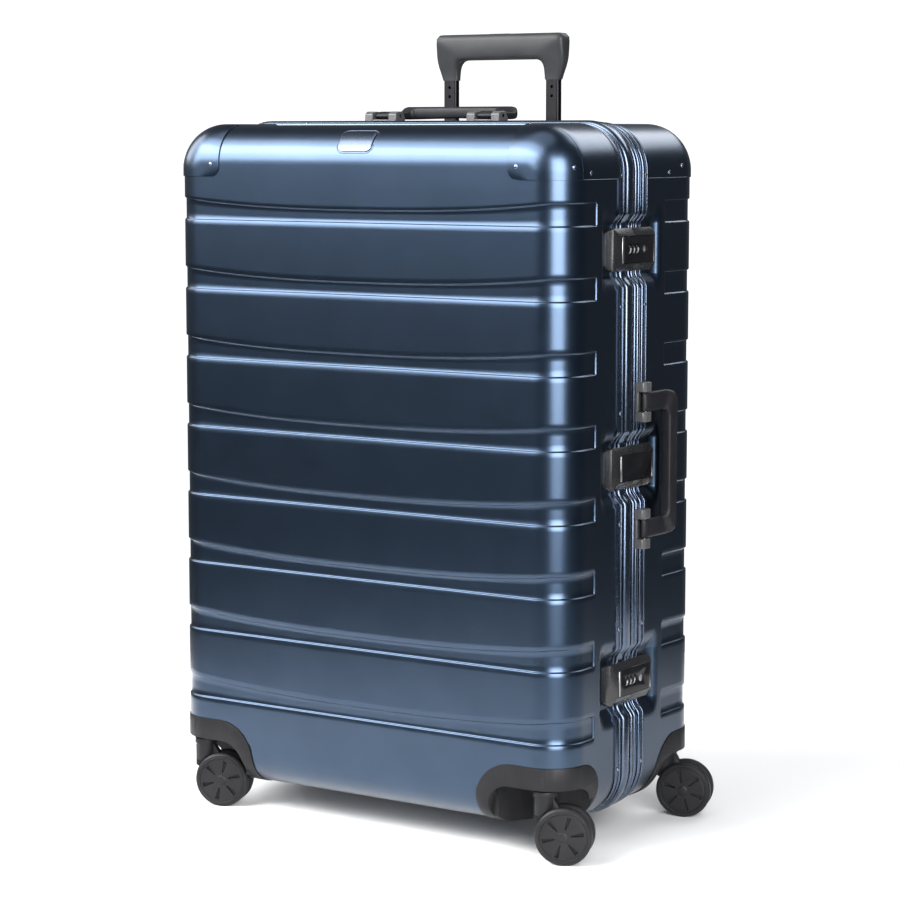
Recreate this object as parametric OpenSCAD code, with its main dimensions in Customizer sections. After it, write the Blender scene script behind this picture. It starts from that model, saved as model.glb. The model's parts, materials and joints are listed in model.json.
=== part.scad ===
// Hard shell suitcase on four twin-wheel casters, standing upright.
// Origin: on the floor, under the middle of the body. +Z up, front (lid) towards -Y,
// locks and side handle on +X, hinges on -X, pull handle at the back (+Y).

/* [Body] */
// Width of the shells
body_w = 525; // [500:1:560]
// Depth of the two shells together
body_d = 293; // [280:1:320]
// Height of the underside of the body above the floor
body_z0 = 33; // [31:1:36]
// Height of the top of the body above the floor
body_z1 = 780; // [760:1:800]
// Radius of the upright edges and of the front and back edges
edge_r = 42; // [30:1:50]
// Corner radius seen from the front
corner_r = 50; // [40:1:60]
// Thickness of the pressed shells
wall = 1.5; // [1:0.1:2]
// Where the two halves meet, measured from the middle of the depth
part_y = -11; // [-14:1:-8]

/* [Bands] */
// Number of pressed bands
bands = 8; // [4:1:8]
// Distance from one band to the next
band_pitch = 78; // [70:1:80]
// Height of the lower edge of the top band
band_top_z = 675; // [660:1:690]
// Depth of a band
band_depth = 1.8; // [1:0.1:2.4]
// Height of a band at the corners
band_h = 24; // [20:1:28]
// Height of a band in the middle of the face
band_mid_h = 13.4; // [12:0.1:18]

/* [Locks and handles] */
// Distance from one lock to the next
lock_pitch = 234; // [220:1:240]
// Height of the middle lock
lock_mid_z = 414; // [405:1:420]
// Depth of the pockets that the locks sit in
pocket_d = 8.5; // [7:0.5:9]
// Distance between the middles of a carry handle's two arms
arm_gap = 138; // [128:1:145]
// Height of the raised grip bar's top above the floor
grip_z = 885; // [870:1:900]

/* [Wheels] */
// Radius of a wheel
wheel_r = 31; // [28:0.5:32]
// Horizontal distance from the swivel axis to the axle
trail = 22; // [19:0.5:23]
// Distance of the front swivel axes from the middle of the width
swivel_x = 230; // [226:1:232]

/* [Hidden] */
$fn = 64;

BLUE = [0.13, 0.19, 0.32];
BLACK = [0.09, 0.09, 0.10];
BIG = 1000;                         // larger than the case, for half spaces
body_h = body_z1 - body_z0;
mid_z = (body_z0 + body_z1) / 2;
half_w = body_w / 2;
half_d = body_d / 2;
gap = 0.3;                          // clearance between pieces on two sides of a joint

// Frame rings: Y limits and how far they stand out of the shells and reach in
frame_r = corner_r;
front_frame_y = [-41, part_y - gap];
back_frame_y = [part_y + gap, 19.5];
flange_h = 1.5;
flange_w = 13;
back_ridges = [[4, 0.5, 4.5], [3.5, 7.5, 11.5], [3, 18, 22]];  // height, then where in Y
bulge_h = 5;
frame_in = 3;

// Lock pockets
lock_zs = [lock_mid_z - lock_pitch, lock_mid_z, lock_mid_z + lock_pitch];
pocket_y = [-66, 46];
pocket_half = 40;
pocket_ramp = 15;
floor_x = half_w - pocket_d;        // outer face of the pocket floor
face_x = floor_x + 12;              // outer face of a lock
casing_y = [-54.5, 34];
casing_half = 23;
flap_half = 14;
flap_y = [-38, 28.5];
flap_t = 4.2;
flap_axis = [face_x - flap_t / 2, flap_y[1]];
flap_pin_r = 1.2;
flap_pin_half = flap_half + 2;
dial_r = 5.4;
dial_w = 5.5;
dial_ys = [-20.5, -12.5, -4.5];
dial_x = face_x + 0.5 - dial_r;
axle_r = 0.9;
key_y = 9.5;
key_r = 4;

// Carry handles: local frame has the pivots along Z, the reach along +Y and outwards +X
pivot_off = 10.5;                   // pivot above the shell surface
pivot_y = 2;
pin_r = 2;
eye_r = 6;
arm_w = 21;
arm_out = 5;                        // outer face of the arms from the pivot
grip_w = 18;
grip_t = 15.5;
grip_y = 47;                        // middle of the grip from the pivot
grip_off = 2.75;                    // the grip stands this much further out than the pivot
grip_end_r = 14;
ear_w = 11;
ear_y = [-9, 10];                   // foot of the ears from the pivot

// Pull handle
pull_x = 5.5;                       // middle of the pull handle from the middle of the case
tube_x = 70;
tube_y = 132;
inner_tube = [17.8, 9];
stage_gap = 0.3;
tube_wall = 1.2;
middle_tube = [for (s = inner_tube) s + 2 * (stage_gap + tube_wall)];
outer_tube = [for (s = middle_tube) s + 2 * (stage_gap + tube_wall)];
foot_z = 86;                        // underside of the foot that holds the outer tubes
cup_floor = 742;
cup_half_x = 98;
cup_y = [113, 145];
grip_half_x = 87.5;
grip_h = 30;
grip_d = 24;
neck_h = 23;
neck_side = 2.5;                    // a neck is this much wider than its tube on each side
neck_fillet = 14;

// Casters
back_swivel_x = swivel_x + 6;
front_swivel_y = -131;
back_swivel_y = 122;
wheel_half = 16;                    // outer face of a wheel from the middle of the caster
wheel_w = 10.5;
leg_half = 5;
axle_pin_r = 3;
cap_t = 2;                          // closed outer end of a wheel's bore
stem_r = 6;
well_r = norm([trail + wheel_r, wheel_half]) + 2.6;
well_top = 80;
well_t = 2.2;                       // thickness of the walls round a well
housing_h = 71;                     // height of a housing above the underside of the body
housing_x = 152;
housing_r = 44;
housing_side_y = 75;                // how near to the middle a front housing reaches on the side
back_housing_side_y = 50;
caster_angles = [21, 22, 20, 19];   // front left, front right, back left, back right at rest
wheel_turns = [17, 12, 30, -18];    // how far each wheel has rolled, in the same order

// Corner guards
guard_x = 191;
guard_z = body_z1 - 57;
guard_t = 1;

// Flange rivets nearest a corner, from the body's top and underside
end_rivet_gap = corner_r + 3;

// Badge, its lower edge on the front
badge_x = -7;
badge_half = 22;
badge_z = body_z1 - 28;

// Hinges
hinge_axis = [-half_w - 11, part_y];
knuckle_r = 4.5;
hinge_pin_r = 2;
hinge_half = 20;
knuckle_half = 7;

// ---------- common shapes ----------

// Rectangle with round corners, centred
module round_rect(w, h, r) {
  difference() {
    square([w, h], center = true);
    for (i = [-1, 1], j = [-1, 1])
      translate([i * (w / 2 - r), j * (h / 2 - r)]) difference() {
        translate([min(i, 0) * (r + 1), min(j, 0) * (r + 1)]) square(r + 1);
        circle(r);
      }
  }
}

// The closed outer form of the case, grown outwards by o
module body_form(o = 0) {
  w = body_w + 2 * o;
  d = body_d + 2 * o;
  h = body_h + 2 * o;
  translate([0, 0, mid_z]) intersection() {
    linear_extrude(h, center = true) round_rect(w, d, edge_r + o);
    rotate([90, 0, 0]) linear_extrude(d, center = true) round_rect(w, h, corner_r + o);
    rotate([90, 0, 90]) linear_extrude(w, center = true) round_rect(d, h, edge_r + o);
  }
}

// A block between two Y planes
module y_slab(y0, y1) {
  translate([-BIG, y0, -BIG]) cube([2 * BIG, y1 - y0, 2 * BIG]);
}

// A flat shape in X and Z, extruded between two Y planes
module along_y(y0, y1) {
  translate([0, y1, 0]) rotate([90, 0, 0]) linear_extrude(y1 - y0) children();
}

// Outline of one pressed band from the front; t makes it taller on both sides
module band_outline(z, t) {
  rise = band_h - band_mid_h;
  chord = half_w - edge_r + 14;
  arc_r = (chord * chord + rise * rise) / (2 * rise);
  difference() {
    translate([-BIG / 2, z - t]) square([BIG, band_h + 2 * t]);
    translate([0, z + band_mid_h + t + arc_r]) circle(arc_r, $fn = 256);
  }
}

// All bands as cutters outside the form grown by o
module band_cutters(o, t, y0, y1) {
  intersection() {
    along_y(y0 + t, y1 - t) for (k = [0:bands - 1]) band_outline(band_top_z - k * band_pitch, t);
    difference() {
      translate([-half_w - 20, -half_d - 20, 0]) cube([body_w + 40, body_d + 40, BIG]);
      body_form(o - band_depth);
    }
  }
}

// Cutter of the three lock pockets; t makes it wider and deeper
module pockets(t = 0) {
  for (z = lock_zs)
    along_y(pocket_y[0] - t, pocket_y[1] + t)
      polygon([
        [half_w + 20, z - pocket_half - t],
        [half_w, z - pocket_half - t],
        [floor_x - t, z - pocket_half + pocket_ramp - t],
        [floor_x - t, z + pocket_half - pocket_ramp + t],
        [half_w, z + pocket_half + t],
        [half_w + 20, z + pocket_half + t]
      ]);
}

// ---------- shells and frames ----------

// Region of a wheel housing on the outside of the body, for the corner at +X and +Y
module housing_region(j) {
  intersection() {
    along_y(0, BIG) translate([housing_x, 0])
      round_corner_block(200, body_z0 + housing_h, housing_r);
    rotate([90, 0, 90]) linear_extrude(BIG) translate([corner_side_y(j), 0])
      round_corner_block(200, body_z0 + housing_h, j < 0 ? 30 : 48);
  }
}

// Block from the origin to (w, h) with its upper near corner rounded
module round_corner_block(w, h, r) {
  difference() {
    square([w, h]);
    difference() {
      translate([-1, h - r]) square(r + 1);
      translate([r, h - r]) circle(r);
    }
  }
}

// Space that a wheel needs: a round well and one arch through each wall
module wheel_well(j, grow = 0) {
  sx = corner_swivel_x(j);
  sy = corner_swivel_y(j);
  top = well_top + grow;
  intersection() {
    translate([sx, sy, 0]) cylinder(r = well_r + grow, h = top, $fn = 96);
    cube([half_w - (grow > 0 ? 0.1 : 3), half_d - (grow > 0 ? 0.1 : 3), BIG]);
  }
  along_y(sy - grow, half_d + 10) translate([housing_x + 14 - grow, 0])
    round_corner_block(200, top, 28);
  translate([sx - grow, 0, 0]) rotate([90, 0, 90]) linear_extrude(60)
    translate([corner_side_y(j) + 11 - grow, 0]) round_corner_block(120, top, 30);
}

// Puts a corner shape of the +X, +Y corner at corner (i, j)
module at_corner(i, j) {
  mirror([i < 0 ? 1 : 0, 0, 0]) mirror([0, j < 0 ? 1 : 0, 0]) children();
}

function corner_swivel_x(j) = j < 0 ? swivel_x : back_swivel_x;
function corner_swivel_y(j) = j < 0 ? -front_swivel_y : back_swivel_y;
function corner_side_y(j) = j < 0 ? housing_side_y : back_housing_side_y;

module housing(i, j) {
  swivel = [corner_swivel_x(j), corner_swivel_y(j)];
  color(BLACK) at_corner(i, j) difference() {
    union() {
      difference() {
        intersection() {
          body_form(1);
          housing_region(j);
        }
        body_form(-2);
      }
      intersection() {
        body_form(-2);
        wheel_well(j, well_t);
        translate([0, 0, body_z0]) cube(BIG);
      }
      translate([swivel[0], swivel[1], well_top]) cylinder(r = 15, h = 14);
    }
    wheel_well(j);
    translate([swivel[0], swivel[1], 0]) cylinder(r = stem_r + 0.05, h = well_top + 12);
  }
}

// One half shell between two Y planes, its bands between two others
module half_shell(y0, y1, band_y0, band_y1, j) {
  color(BLUE) difference() {
    intersection() {
      body_form();
      y_slab(y0, y1);
    }
    band_cutters(0, 0, band_y0, band_y1);
    pockets();
    difference() {
      body_form(-wall);
      band_cutters(-wall, wall, band_y0 - BIG * max(0, -j), band_y1 + BIG * max(0, j));
      pockets(wall);
    }
    for (i = [-1, 1]) at_corner(i, j) {
      intersection() {
        housing_region(j);
        body_form(5);
      }
      wheel_well(j, well_t);
    }
    if (j > 0) bezel_opening();
  }
}

module front_shell() { half_shell(-half_d - 1, front_frame_y[0] + flange_w, -BIG / 2, -84, -1); }
module back_shell() { half_shell(back_frame_y[1] - flange_w, half_d + 1, 61, BIG / 2, 1); }

// A ring that follows the outline of the body, from offset o0 to o1, between two Y planes
module ring(o0, o1, y0, y1) {
  along_y(y0, y1) translate([0, mid_z]) difference() {
    round_rect(body_w + 2 * o1, body_h + 2 * o1, frame_r + o1);
    round_rect(body_w + 2 * o0, body_h + 2 * o0, frame_r + o0);
  }
}

// Frame ring with its dips into the lock pockets
module frame(y0, y1, profile, channel) {
  color(BLUE) difference() {
    union() {
      for (p = profile) ring(p[0], p[1], p[2], p[3]);
      pocket_dips(y0, y1);
    }
    pockets();
    if (channel) ring(-2.2, 0.2, y0 - 1, y0 + 2);
  }
}

// The metal under the lock pockets within the frame's own width
module pocket_dips(y0, y1) {
  for (z = lock_zs) along_y(y0, y1)
    polygon([
      [half_w + 0.5, z - pocket_half - 6],
      [half_w - frame_in, z - pocket_half - 6],
      [floor_x - 2, z - pocket_half + pocket_ramp - 2],
      [floor_x - 2, z + pocket_half - pocket_ramp + 2],
      [half_w - frame_in, z + pocket_half + 6],
      [half_w + 0.5, z + pocket_half + 6]
    ]);
}

module front_frame() {
  y0 = front_frame_y[0];
  y1 = front_frame_y[1];
  frame(y0 + flange_w, y1, [
    [0, flange_h, y0, y0 + flange_w],
    [-frame_in, bulge_h - 2, y0 + flange_w, y1],
    [0, bulge_h - 0.7, y0 + flange_w + 1.2, y1 - 2.5],
    [0, bulge_h, y0 + flange_w + 3, y1 - 4.5]
  ], false);
}

module back_frame() {
  y0 = back_frame_y[0];
  y1 = back_frame_y[1];
  frame(y0, y1 - flange_w, concat(
    [[0, flange_h, y1 - flange_w, y1], [-frame_in, flange_h, y0, y1 - flange_w]],
    [for (p = back_ridges) [0, p[0], y0 + p[1], y0 + p[2]]]
  ), true);
}

module frame_seal() {
  color([0.05, 0.05, 0.05]) difference() {
    ring(-2.1, 0.1, back_frame_y[0], back_frame_y[0] + 1.9);
    pockets(2.4);
  }
}

// ---------- rivets, guards, badge ----------

module rivet_head(h = 0.9) {
  cylinder(r = 2.3, h = h);
}

// Rivets of one frame flange, on both sides, the top and the underside
module flange_rivets(y, side_zs) {
  for (s = [-1, 1], z = side_zs)
    translate([s * (half_w + flange_h), y, z]) rotate([0, s * 90, 0]) rivet_head();
  for (x = [-150, 150]) {
    translate([x, y, body_z1 + flange_h]) rivet_head();
    translate([x, y, body_z0 - flange_h]) mirror([0, 0, 1]) rivet_head();
  }
}

// Heights of the rivets on the sides: pairs round the middle lock, then one near each corner
function rivet_zs(steps) = concat(
  [for (s = steps, q = [-1, 1]) lock_mid_z + q * s],
  [body_z1 - end_rivet_gap, body_z0 + end_rivet_gap]);

// Rivets of the guards at the corner (+X, +Y): one on the face, two on the side at [y, drop]
module guard_rivets(places) {
  difference() {
    union() {
      translate([guard_x + 11, half_d, body_z1 - 43]) rotate([-90, 0, 0]) guard_rivet();
      for (p = places) {
        turn = asin(max(0, p[0] - half_d + edge_r) / edge_r);
        translate([half_w - edge_r, p[0] - edge_r * sin(turn), body_z1 - p[1]])
          rotate([0, 90, turn]) translate([0, 0, edge_r]) guard_rivet();
      }
    }
    body_form(guard_t);
  }
}

module guard_rivet() {
  translate([0, 0, guard_t - 1]) rivet_head(h = 1.9);
}

module front_rivets() {
  color([0.2, 0.25, 0.36]) {
    flange_rivets(front_frame_y[0] + 5.5, rivet_zs([60, 174]));
    for (i = [-1, 1]) at_corner(i, -1) guard_rivets([[124, 44], [99, 50]]);
  }
}

module back_rivets() {
  color([0.2, 0.25, 0.36]) {
    flange_rivets(back_frame_y[1] - 5, rivet_zs([174]));
    for (i = [-1, 1]) at_corner(i, 1) guard_rivets([[67, 51], [95, 44]]);
  }
}

module corner_guards(j, inner_y) {
  color(BLUE) for (i = [-1, 1]) at_corner(i, j) difference() {
    intersection() {
      body_form(guard_t);
      along_y(inner_y, BIG) translate([guard_x, body_z1 + 10]) mirror([0, 1])
        round_corner_block(200, body_z1 + 10 - guard_z, 12);
    }
    body_form(0);
  }
}

module front_corner_guards() { corner_guards(-1, -front_frame_y[0] + 0.2); }
module back_corner_guards() { corner_guards(1, back_frame_y[1] + 0.2); }

module badge_plate() {
  color(BLUE) difference() {
    intersection() {
      body_form(0.8);
      along_y(-half_d - 5, -half_d + 20) translate([badge_x, badge_z + 25])
        round_rect(2 * badge_half, 50, 5);
    }
    body_form(0);
  }
}

// ---------- linings and hinges ----------

module lining(y0, y1, j) {
  color([0.16, 0.16, 0.18]) difference() {
    along_y(y0, y1) translate([0, mid_z]) round_rect(body_w - 27, body_h - 27, 36);
    along_y(y0 + (j < 0 ? 1.2 : -1), y1 + (j < 0 ? 1 : -1.2)) translate([0, mid_z])
      round_rect(body_w - 29.4, body_h - 29.4, 34.8);
    for (i = [-1, 1]) at_corner(i, j) {
      translate([corner_swivel_x(j), corner_swivel_y(j), 0])
        cylinder(r = well_r + 8, h = well_top + 20);
      translate([housing_x - 8, corner_side_y(j) - 4, 0]) cube([200, 200, well_top + 20]);
    }
    if (j > 0) bezel_opening(0.5);
  }
}

module front_lining() { lining(-128, -30, -1); }
module back_lining() { lining(8, 114, 1); }

module knuckle(z0, z1) {
  translate([hinge_axis[0], hinge_axis[1], z0]) cylinder(r = knuckle_r, h = z1 - z0);
}

// Leaves of the three hinges; side is +1 on the base and -1 on the lid
module hinge_leaves(side) {
  leaf = 26;
  start = knuckle_r + gap;
  spans = side > 0 ? [[-hinge_half, -knuckle_half - gap], [knuckle_half + gap, hinge_half]]
                   : [[-knuckle_half, knuckle_half]];
  color(BLUE) difference() {
    for (z = lock_zs) {
      for (s = spans) {
        knuckle(z + s[0], z + s[1]);
        translate([hinge_axis[0] + 1.5, hinge_axis[1] + (side > 0 ? gap : -start - gap), z + s[0]])
          cube([half_w, start, s[1] - s[0]]);
      }
      translate([hinge_axis[0] + 1.5, hinge_axis[1] + (side > 0 ? start : -leaf), z - hinge_half])
        cube([half_w, leaf - start, 2 * hinge_half]);
    }
    translate([-half_w - (side > 0 ? 0 : bulge_h), -BIG / 2, 0]) cube([BIG, BIG, BIG]);
    if (side > 0) frame_tops();
    for (z = lock_zs) translate([hinge_axis[0], hinge_axis[1], z - hinge_half - 1])
      cylinder(r = side > 0 ? hinge_pin_r : hinge_pin_r + 0.05, h = 2 * hinge_half + 2);
  }
}

module base_hinge_leaves() { hinge_leaves(1); }
module lid_hinge_leaves() { hinge_leaves(-1); }

module hinge_pins() {
  color([0.6, 0.6, 0.62]) for (z = lock_zs)
    translate([hinge_axis[0], hinge_axis[1], z - hinge_half - 1.5]) {
      cylinder(r = hinge_pin_r, h = 2 * hinge_half + 3);
      for (q = [0, 2 * hinge_half + 2.5])
        translate([0, 0, q - (q == 0 ? 1 : 0)]) cylinder(r = hinge_pin_r + 1.2, h = 1.5);
    }
}

// ---------- locks ----------

// Casing of one lock as a full block, with the bevels of its face
module lock_block(y0, y1) {
  rim = face_x - floor_x - 4;
  intersection() {
    translate([floor_x, 0, 0]) rotate([0, 90, 0]) intersection() {
      linear_extrude(face_x - floor_x) translate([0, (casing_y[0] + casing_y[1]) / 2])
        round_rect(2 * casing_half, casing_y[1] - casing_y[0], 8);
      rotate([90, 0, 0]) translate([0, 0, -100]) linear_extrude(200) polygon([
        [-casing_half, 0], [casing_half, 0], [casing_half, rim],
        [flap_half + 1, rim + 4], [-flap_half - 1, rim + 4], [-casing_half, rim]]);
      translate([-100, y0, -1]) cube([200, y1 - y0, 100]);
    }
    linear_extrude(3 * casing_half, center = true) polygon([
      [floor_x, casing_y[0]], [floor_x + rim, casing_y[0] + 4.5], [face_x, casing_y[0] + 13.5],
      [face_x, casing_y[1] - 1.5], [floor_x, casing_y[1]]]);
  }
}

// Room for the flap, and a deeper one for the dials below it
module flap_room(z) {
  translate([floor_x + 2, flap_y[0] - 0.6, z - flap_half - 0.5])
    cube([20, flap_axis[1] + flap_t / 2 - flap_y[0] + 1.2, 2 * flap_half + 1]);
  translate([floor_x + 1, dial_ys[0] - 4, z - dial_r - 2])
    cube([5, dial_ys[2] - dial_ys[0] + 8, 2 * dial_r + 4]);
}

module lock_casings() {
  color(BLACK) difference() {
    for (z = lock_zs) translate([0, 0, z]) lock_block(part_y + gap, casing_y[1]);
    for (z = lock_zs) {
      flap_room(z);
      translate([flap_axis[0], flap_axis[1], z])
        cylinder(r = flap_pin_r + 0.06, h = 2 * flap_pin_half + 0.8, center = true);
    }
  }
}

module lock_keepers() {
  color(BLACK) difference() {
    for (z = lock_zs) translate([0, 0, z]) lock_block(casing_y[0], part_y - gap);
    for (z = lock_zs) flap_room(z);
  }
}

// Latch flap at height z; windows for the dials and a hole for the key cylinder if wanted
module flap(z, combination) {
  color(BLACK) difference() {
    union() {
      translate([face_x - flap_t, flap_y[0], z - flap_half])
        cube([flap_t, flap_axis[1] - flap_y[0], 2 * flap_half]);
      translate([flap_axis[0], flap_axis[1], z])
        cylinder(r = flap_t / 2, h = 2 * flap_half, center = true);
      translate([flap_axis[0], flap_axis[1], z])
        cylinder(r = flap_pin_r, h = 2 * flap_pin_half, center = true);
      if (combination) for (y = [dial_ys[0] - 5.5, dial_ys[2] + 5.5])
        translate([dial_x - 2.5, y - 1.3, z - 2.5]) cube([5, 2.6, 5]);
      if (combination) translate([floor_x + 3.2, key_y, z]) rotate([0, 90, 0])
        cylinder(r = key_r + 1.5, h = 6);
    }
    if (combination) {
      for (y = dial_ys) translate([dial_x - 10, y - dial_w / 2 - 0.4, z - dial_r - 0.4])
        cube([30, dial_w + 0.8, 2 * dial_r + 0.8]);
      translate([dial_x, dial_ys[0] - 7, z]) rotate([-90, 0, 0])
        cylinder(r = axle_r, h = dial_ys[2] - dial_ys[0] + 14);
      translate([floor_x + 3, key_y, z]) rotate([0, 90, 0]) cylinder(r = key_r + 0.05, h = 20);
    }
  }
}

module upper_flap() { flap(lock_zs[2], true); }
module centre_flap() { flap(lock_zs[1], false); }
module lower_flap() { flap(lock_zs[0], true); }

// Number dial with ten finger notches
module dial(z, k) {
  color([0.12, 0.12, 0.13]) translate([dial_x, dial_ys[k], z]) rotate([-90, 0, 0]) difference() {
    cylinder(r = dial_r, h = dial_w, center = true);
    cylinder(r = axle_r + 0.05, h = dial_w + 1, center = true);
    for (a = [0:36:359]) rotate(a + 18) translate([dial_r + 0.35, 0, 0])
      cylinder(r = 0.8, h = dial_w + 1, center = true, $fn = 16);
  }
}

module dial_axle(z) {
  color([0.6, 0.6, 0.62]) translate([dial_x, dial_ys[0] - 6.8, z]) rotate([-90, 0, 0])
    cylinder(r = axle_r, h = dial_ys[2] - dial_ys[0] + 13.6);
}

module key_cylinder(z) {
  color([0.5, 0.5, 0.52]) translate([floor_x + 3.4, key_y, z]) rotate([0, 90, 0]) difference() {
    cylinder(r = key_r, h = face_x - floor_x - 3.6);
    translate([-2.6, -0.5, 5]) cube([5.2, 1, 10]);
  }
}

// ---------- carry handles ----------

// Moving handle: two arms with pivot eyes and a grip bar
module carry_handle() {
  color(BLACK) difference() {
    union() {
      for (s = [-1, 1]) translate([0, 0, s * arm_gap / 2]) {
        cylinder(r = eye_r, h = arm_w, center = true);
        linear_extrude(arm_w, center = true) polygon([
          [-4.5, 0], [arm_out, 0], [arm_out, grip_y], [grip_off - 4.5, grip_y]]);
      }
      translate([grip_off - grip_t / 2, grip_y - grip_w / 2, -arm_gap / 2 - arm_w / 2])
        linear_extrude(arm_gap + arm_w) translate([grip_t / 2, grip_w / 2])
          round_rect(grip_t, grip_w, 5);
    }
    cylinder(r = pin_r + 0.05, h = arm_gap + 2 * arm_w, center = true);
    for (s = [-1, 1])
      translate([-50, grip_y + grip_w / 2 - grip_end_r, s * (arm_gap + arm_w) / 2])
        rotate([0, 90, 0]) linear_extrude(100) difference() {
          translate([s > 0 ? -1 : -grip_end_r, 0]) square(grip_end_r + 1);
          translate([s * grip_end_r, 0]) circle(grip_end_r);
        }
  }
}

// Brackets: two pairs of ears on a base that rests on the frame
module carry_brackets(base) {
  color(BLACK) difference() {
    for (s = [-1, 1]) translate([0, 0, s * arm_gap / 2]) {
      for (q = [-1, 1]) translate([0, 0, q * (arm_w / 2 + gap + ear_w / 2)])
        linear_extrude(ear_w, center = true) union() {
          circle(eye_r);
          translate([-base, ear_y[0]]) square([base, ear_y[1] - ear_y[0]]);
        }
      translate([-base, ear_y[0], -arm_w / 2 - 1])
        cube([base - eye_r - 1, ear_y[1] - ear_y[0], arm_w + 2]);
    }
    cylinder(r = pin_r, h = arm_gap + 3 * arm_w, center = true);
  }
}

module carry_pins() {
  color([0.3, 0.3, 0.32]) for (s = [-1, 1]) translate([0, 0, s * arm_gap / 2])
    cylinder(r = pin_r, h = arm_w + 2 * ear_w, center = true);
}

// Places a handle's local frame on the side or on the top
module on_side() { translate([half_w + pivot_off, pivot_y, lock_mid_z + 1]) children(); }
module on_top() {
  translate([0, pivot_y, body_z1 + pivot_off]) rotate([0, -90, 0]) children();
}

// The outside of the back frame, for pieces that are fitted to it
module frame_tops() {
  ring(-2, flange_h, back_frame_y[0], back_frame_y[1]);
  for (p = back_ridges) ring(-2, p[0], back_frame_y[0] + p[1], back_frame_y[0] + p[2]);
}

module side_handle_brackets() {
  difference() {
    on_side() carry_brackets(pivot_off - 0.5);
    frame_tops();
  }
}

module top_handle_brackets() {
  difference() {
    on_top() carry_brackets(pivot_off - 0.5);
    frame_tops();
  }
}

module side_handle() { on_side() carry_handle(); }
module top_handle() { on_top() carry_handle(); }
module side_handle_pins() { on_side() carry_pins(); }
module top_handle_pins() { on_top() carry_pins(); }

// ---------- pull handle ----------

// Puts a shape on the middle line of one tube
module at_tube(s, z) {
  translate([pull_x + s * tube_x, tube_y, z]) children();
}

module tube_pair(size, z0, z1, t) {
  for (s = [-1, 1]) at_tube(s, z0) linear_extrude(z1 - z0) difference() {
    round_rect(size[0], size[1], 3);
    round_rect(size[0] - 2 * t, size[1] - 2 * t, 2);
  }
}

module tube_bores(size, z0, z1) {
  for (s = [-1, 1]) at_tube(s, z0) linear_extrude(z1 - z0) round_rect(size[0], size[1], 3);
}

module outer_tubes() {
  color([0.35, 0.36, 0.38]) tube_pair(outer_tube, foot_z + 8, cup_floor - 3, tube_wall);
}

module middle_tubes() {
  color([0.2, 0.2, 0.22]) tube_pair(middle_tube, 110, cup_floor + 2, tube_wall);
}

module inner_tubes() {
  color(BLACK) difference() {
    tube_pair(inner_tube, 240, grip_z - grip_h, 1.3);
    for (s = [-1, 1], drop = [61, 71.5])
      at_tube(s, grip_z - drop) rotate([90, 0, 0]) cylinder(r = 1.8, h = 20);
  }
}

// Opening in the back shell for the cup of the pull handle
module bezel_opening(more = 0) {
  translate([pull_x - cup_half_x - 4 - more, cup_y[0] - 4 - more, cup_floor - 3.2 - more])
    cube([2 * (cup_half_x + 4 + more), cup_y[1] - cup_y[0] + 30, 100]);
}

module handle_bezel() {
  color(BLACK) difference() {
    intersection() {
      body_form(2);
      translate([pull_x - cup_half_x - 4, cup_y[0] - 4, cup_floor - 3])
        cube([2 * cup_half_x + 8, 80, 100]);
    }
    translate([pull_x - cup_half_x, cup_y[0], cup_floor])
      cube([2 * cup_half_x, cup_y[1] - cup_y[0], 100]);
    tube_bores([for (s = middle_tube) s + 2 * stage_gap], 700, 800);
  }
}

module tube_foot() {
  color(BLACK) difference() {
    translate([pull_x - tube_x - 16, tube_y - 10.5, foot_z])
      cube([2 * tube_x + 32, half_d - wall - tube_y + 10.5, 28]);
    translate([pull_x - tube_x + 16, tube_y - 11, foot_z + 8])
      cube([2 * tube_x - 32, 22, 30]);
    tube_bores(outer_tube, foot_z + 8, 200);
  }
}

// One neck of the grip from the front, its tube on the middle line and the bar above Z 0
module neck_outline() {
  half = inner_tube[0] / 2 + neck_side;
  polygon([[-half, 2], [-half, -neck_h], [half, -neck_h], [half + 4, 2]]);
  translate([-half - neck_fillet, -neck_fillet]) difference() {
    square([neck_fillet + 1, neck_fillet + 2]);
    circle(neck_fillet);
  }
}

module pull_grip() {
  neck_d = inner_tube[1] + 2 * neck_side;
  color(BLACK) difference() {
    union() {
      translate([pull_x, tube_y + grip_d / 2, grip_z]) rotate([90, 0, 0])
        linear_extrude(grip_d) polygon([
          [-grip_half_x, -grip_h + 12], [-grip_half_x + 2, -8], [-grip_half_x + 10, 0],
          [grip_half_x - 10, 0], [grip_half_x - 2, -8], [grip_half_x, -grip_h + 12],
          [grip_half_x - 1, -grip_h], [-grip_half_x + 1, -grip_h]]);
      for (s = [-1, 1]) at_tube(s, grip_z - grip_h) mirror([s < 0 ? 1 : 0, 0, 0])
        translate([0, neck_d / 2, 0]) rotate([90, 0, 0]) linear_extrude(neck_d) neck_outline();
    }
    tube_bores(inner_tube, grip_z - grip_h - neck_h - 1, grip_z - grip_h);
    translate([pull_x - 14, tube_y - 7, grip_z - 6]) cube([28, 14, 10]);
  }
}

module release_button() {
  color([0.2, 0.2, 0.22]) translate([pull_x - 13.6, tube_y - 6.6, grip_z - 2.7])
    cube([27.2, 13.2, 2.7]);
}

// ---------- casters ----------

// Puts a caster's local frame in place: swivel axis up Z, axle along Y, wheel towards +X
module caster_at(k) {
  i = k % 2 == 0 ? -1 : 1;
  j = k < 2 ? -1 : 1;
  translate([i * corner_swivel_x(j), j * corner_swivel_y(j), 0])
    rotate(caster_angles[k]) children();
}

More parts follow.
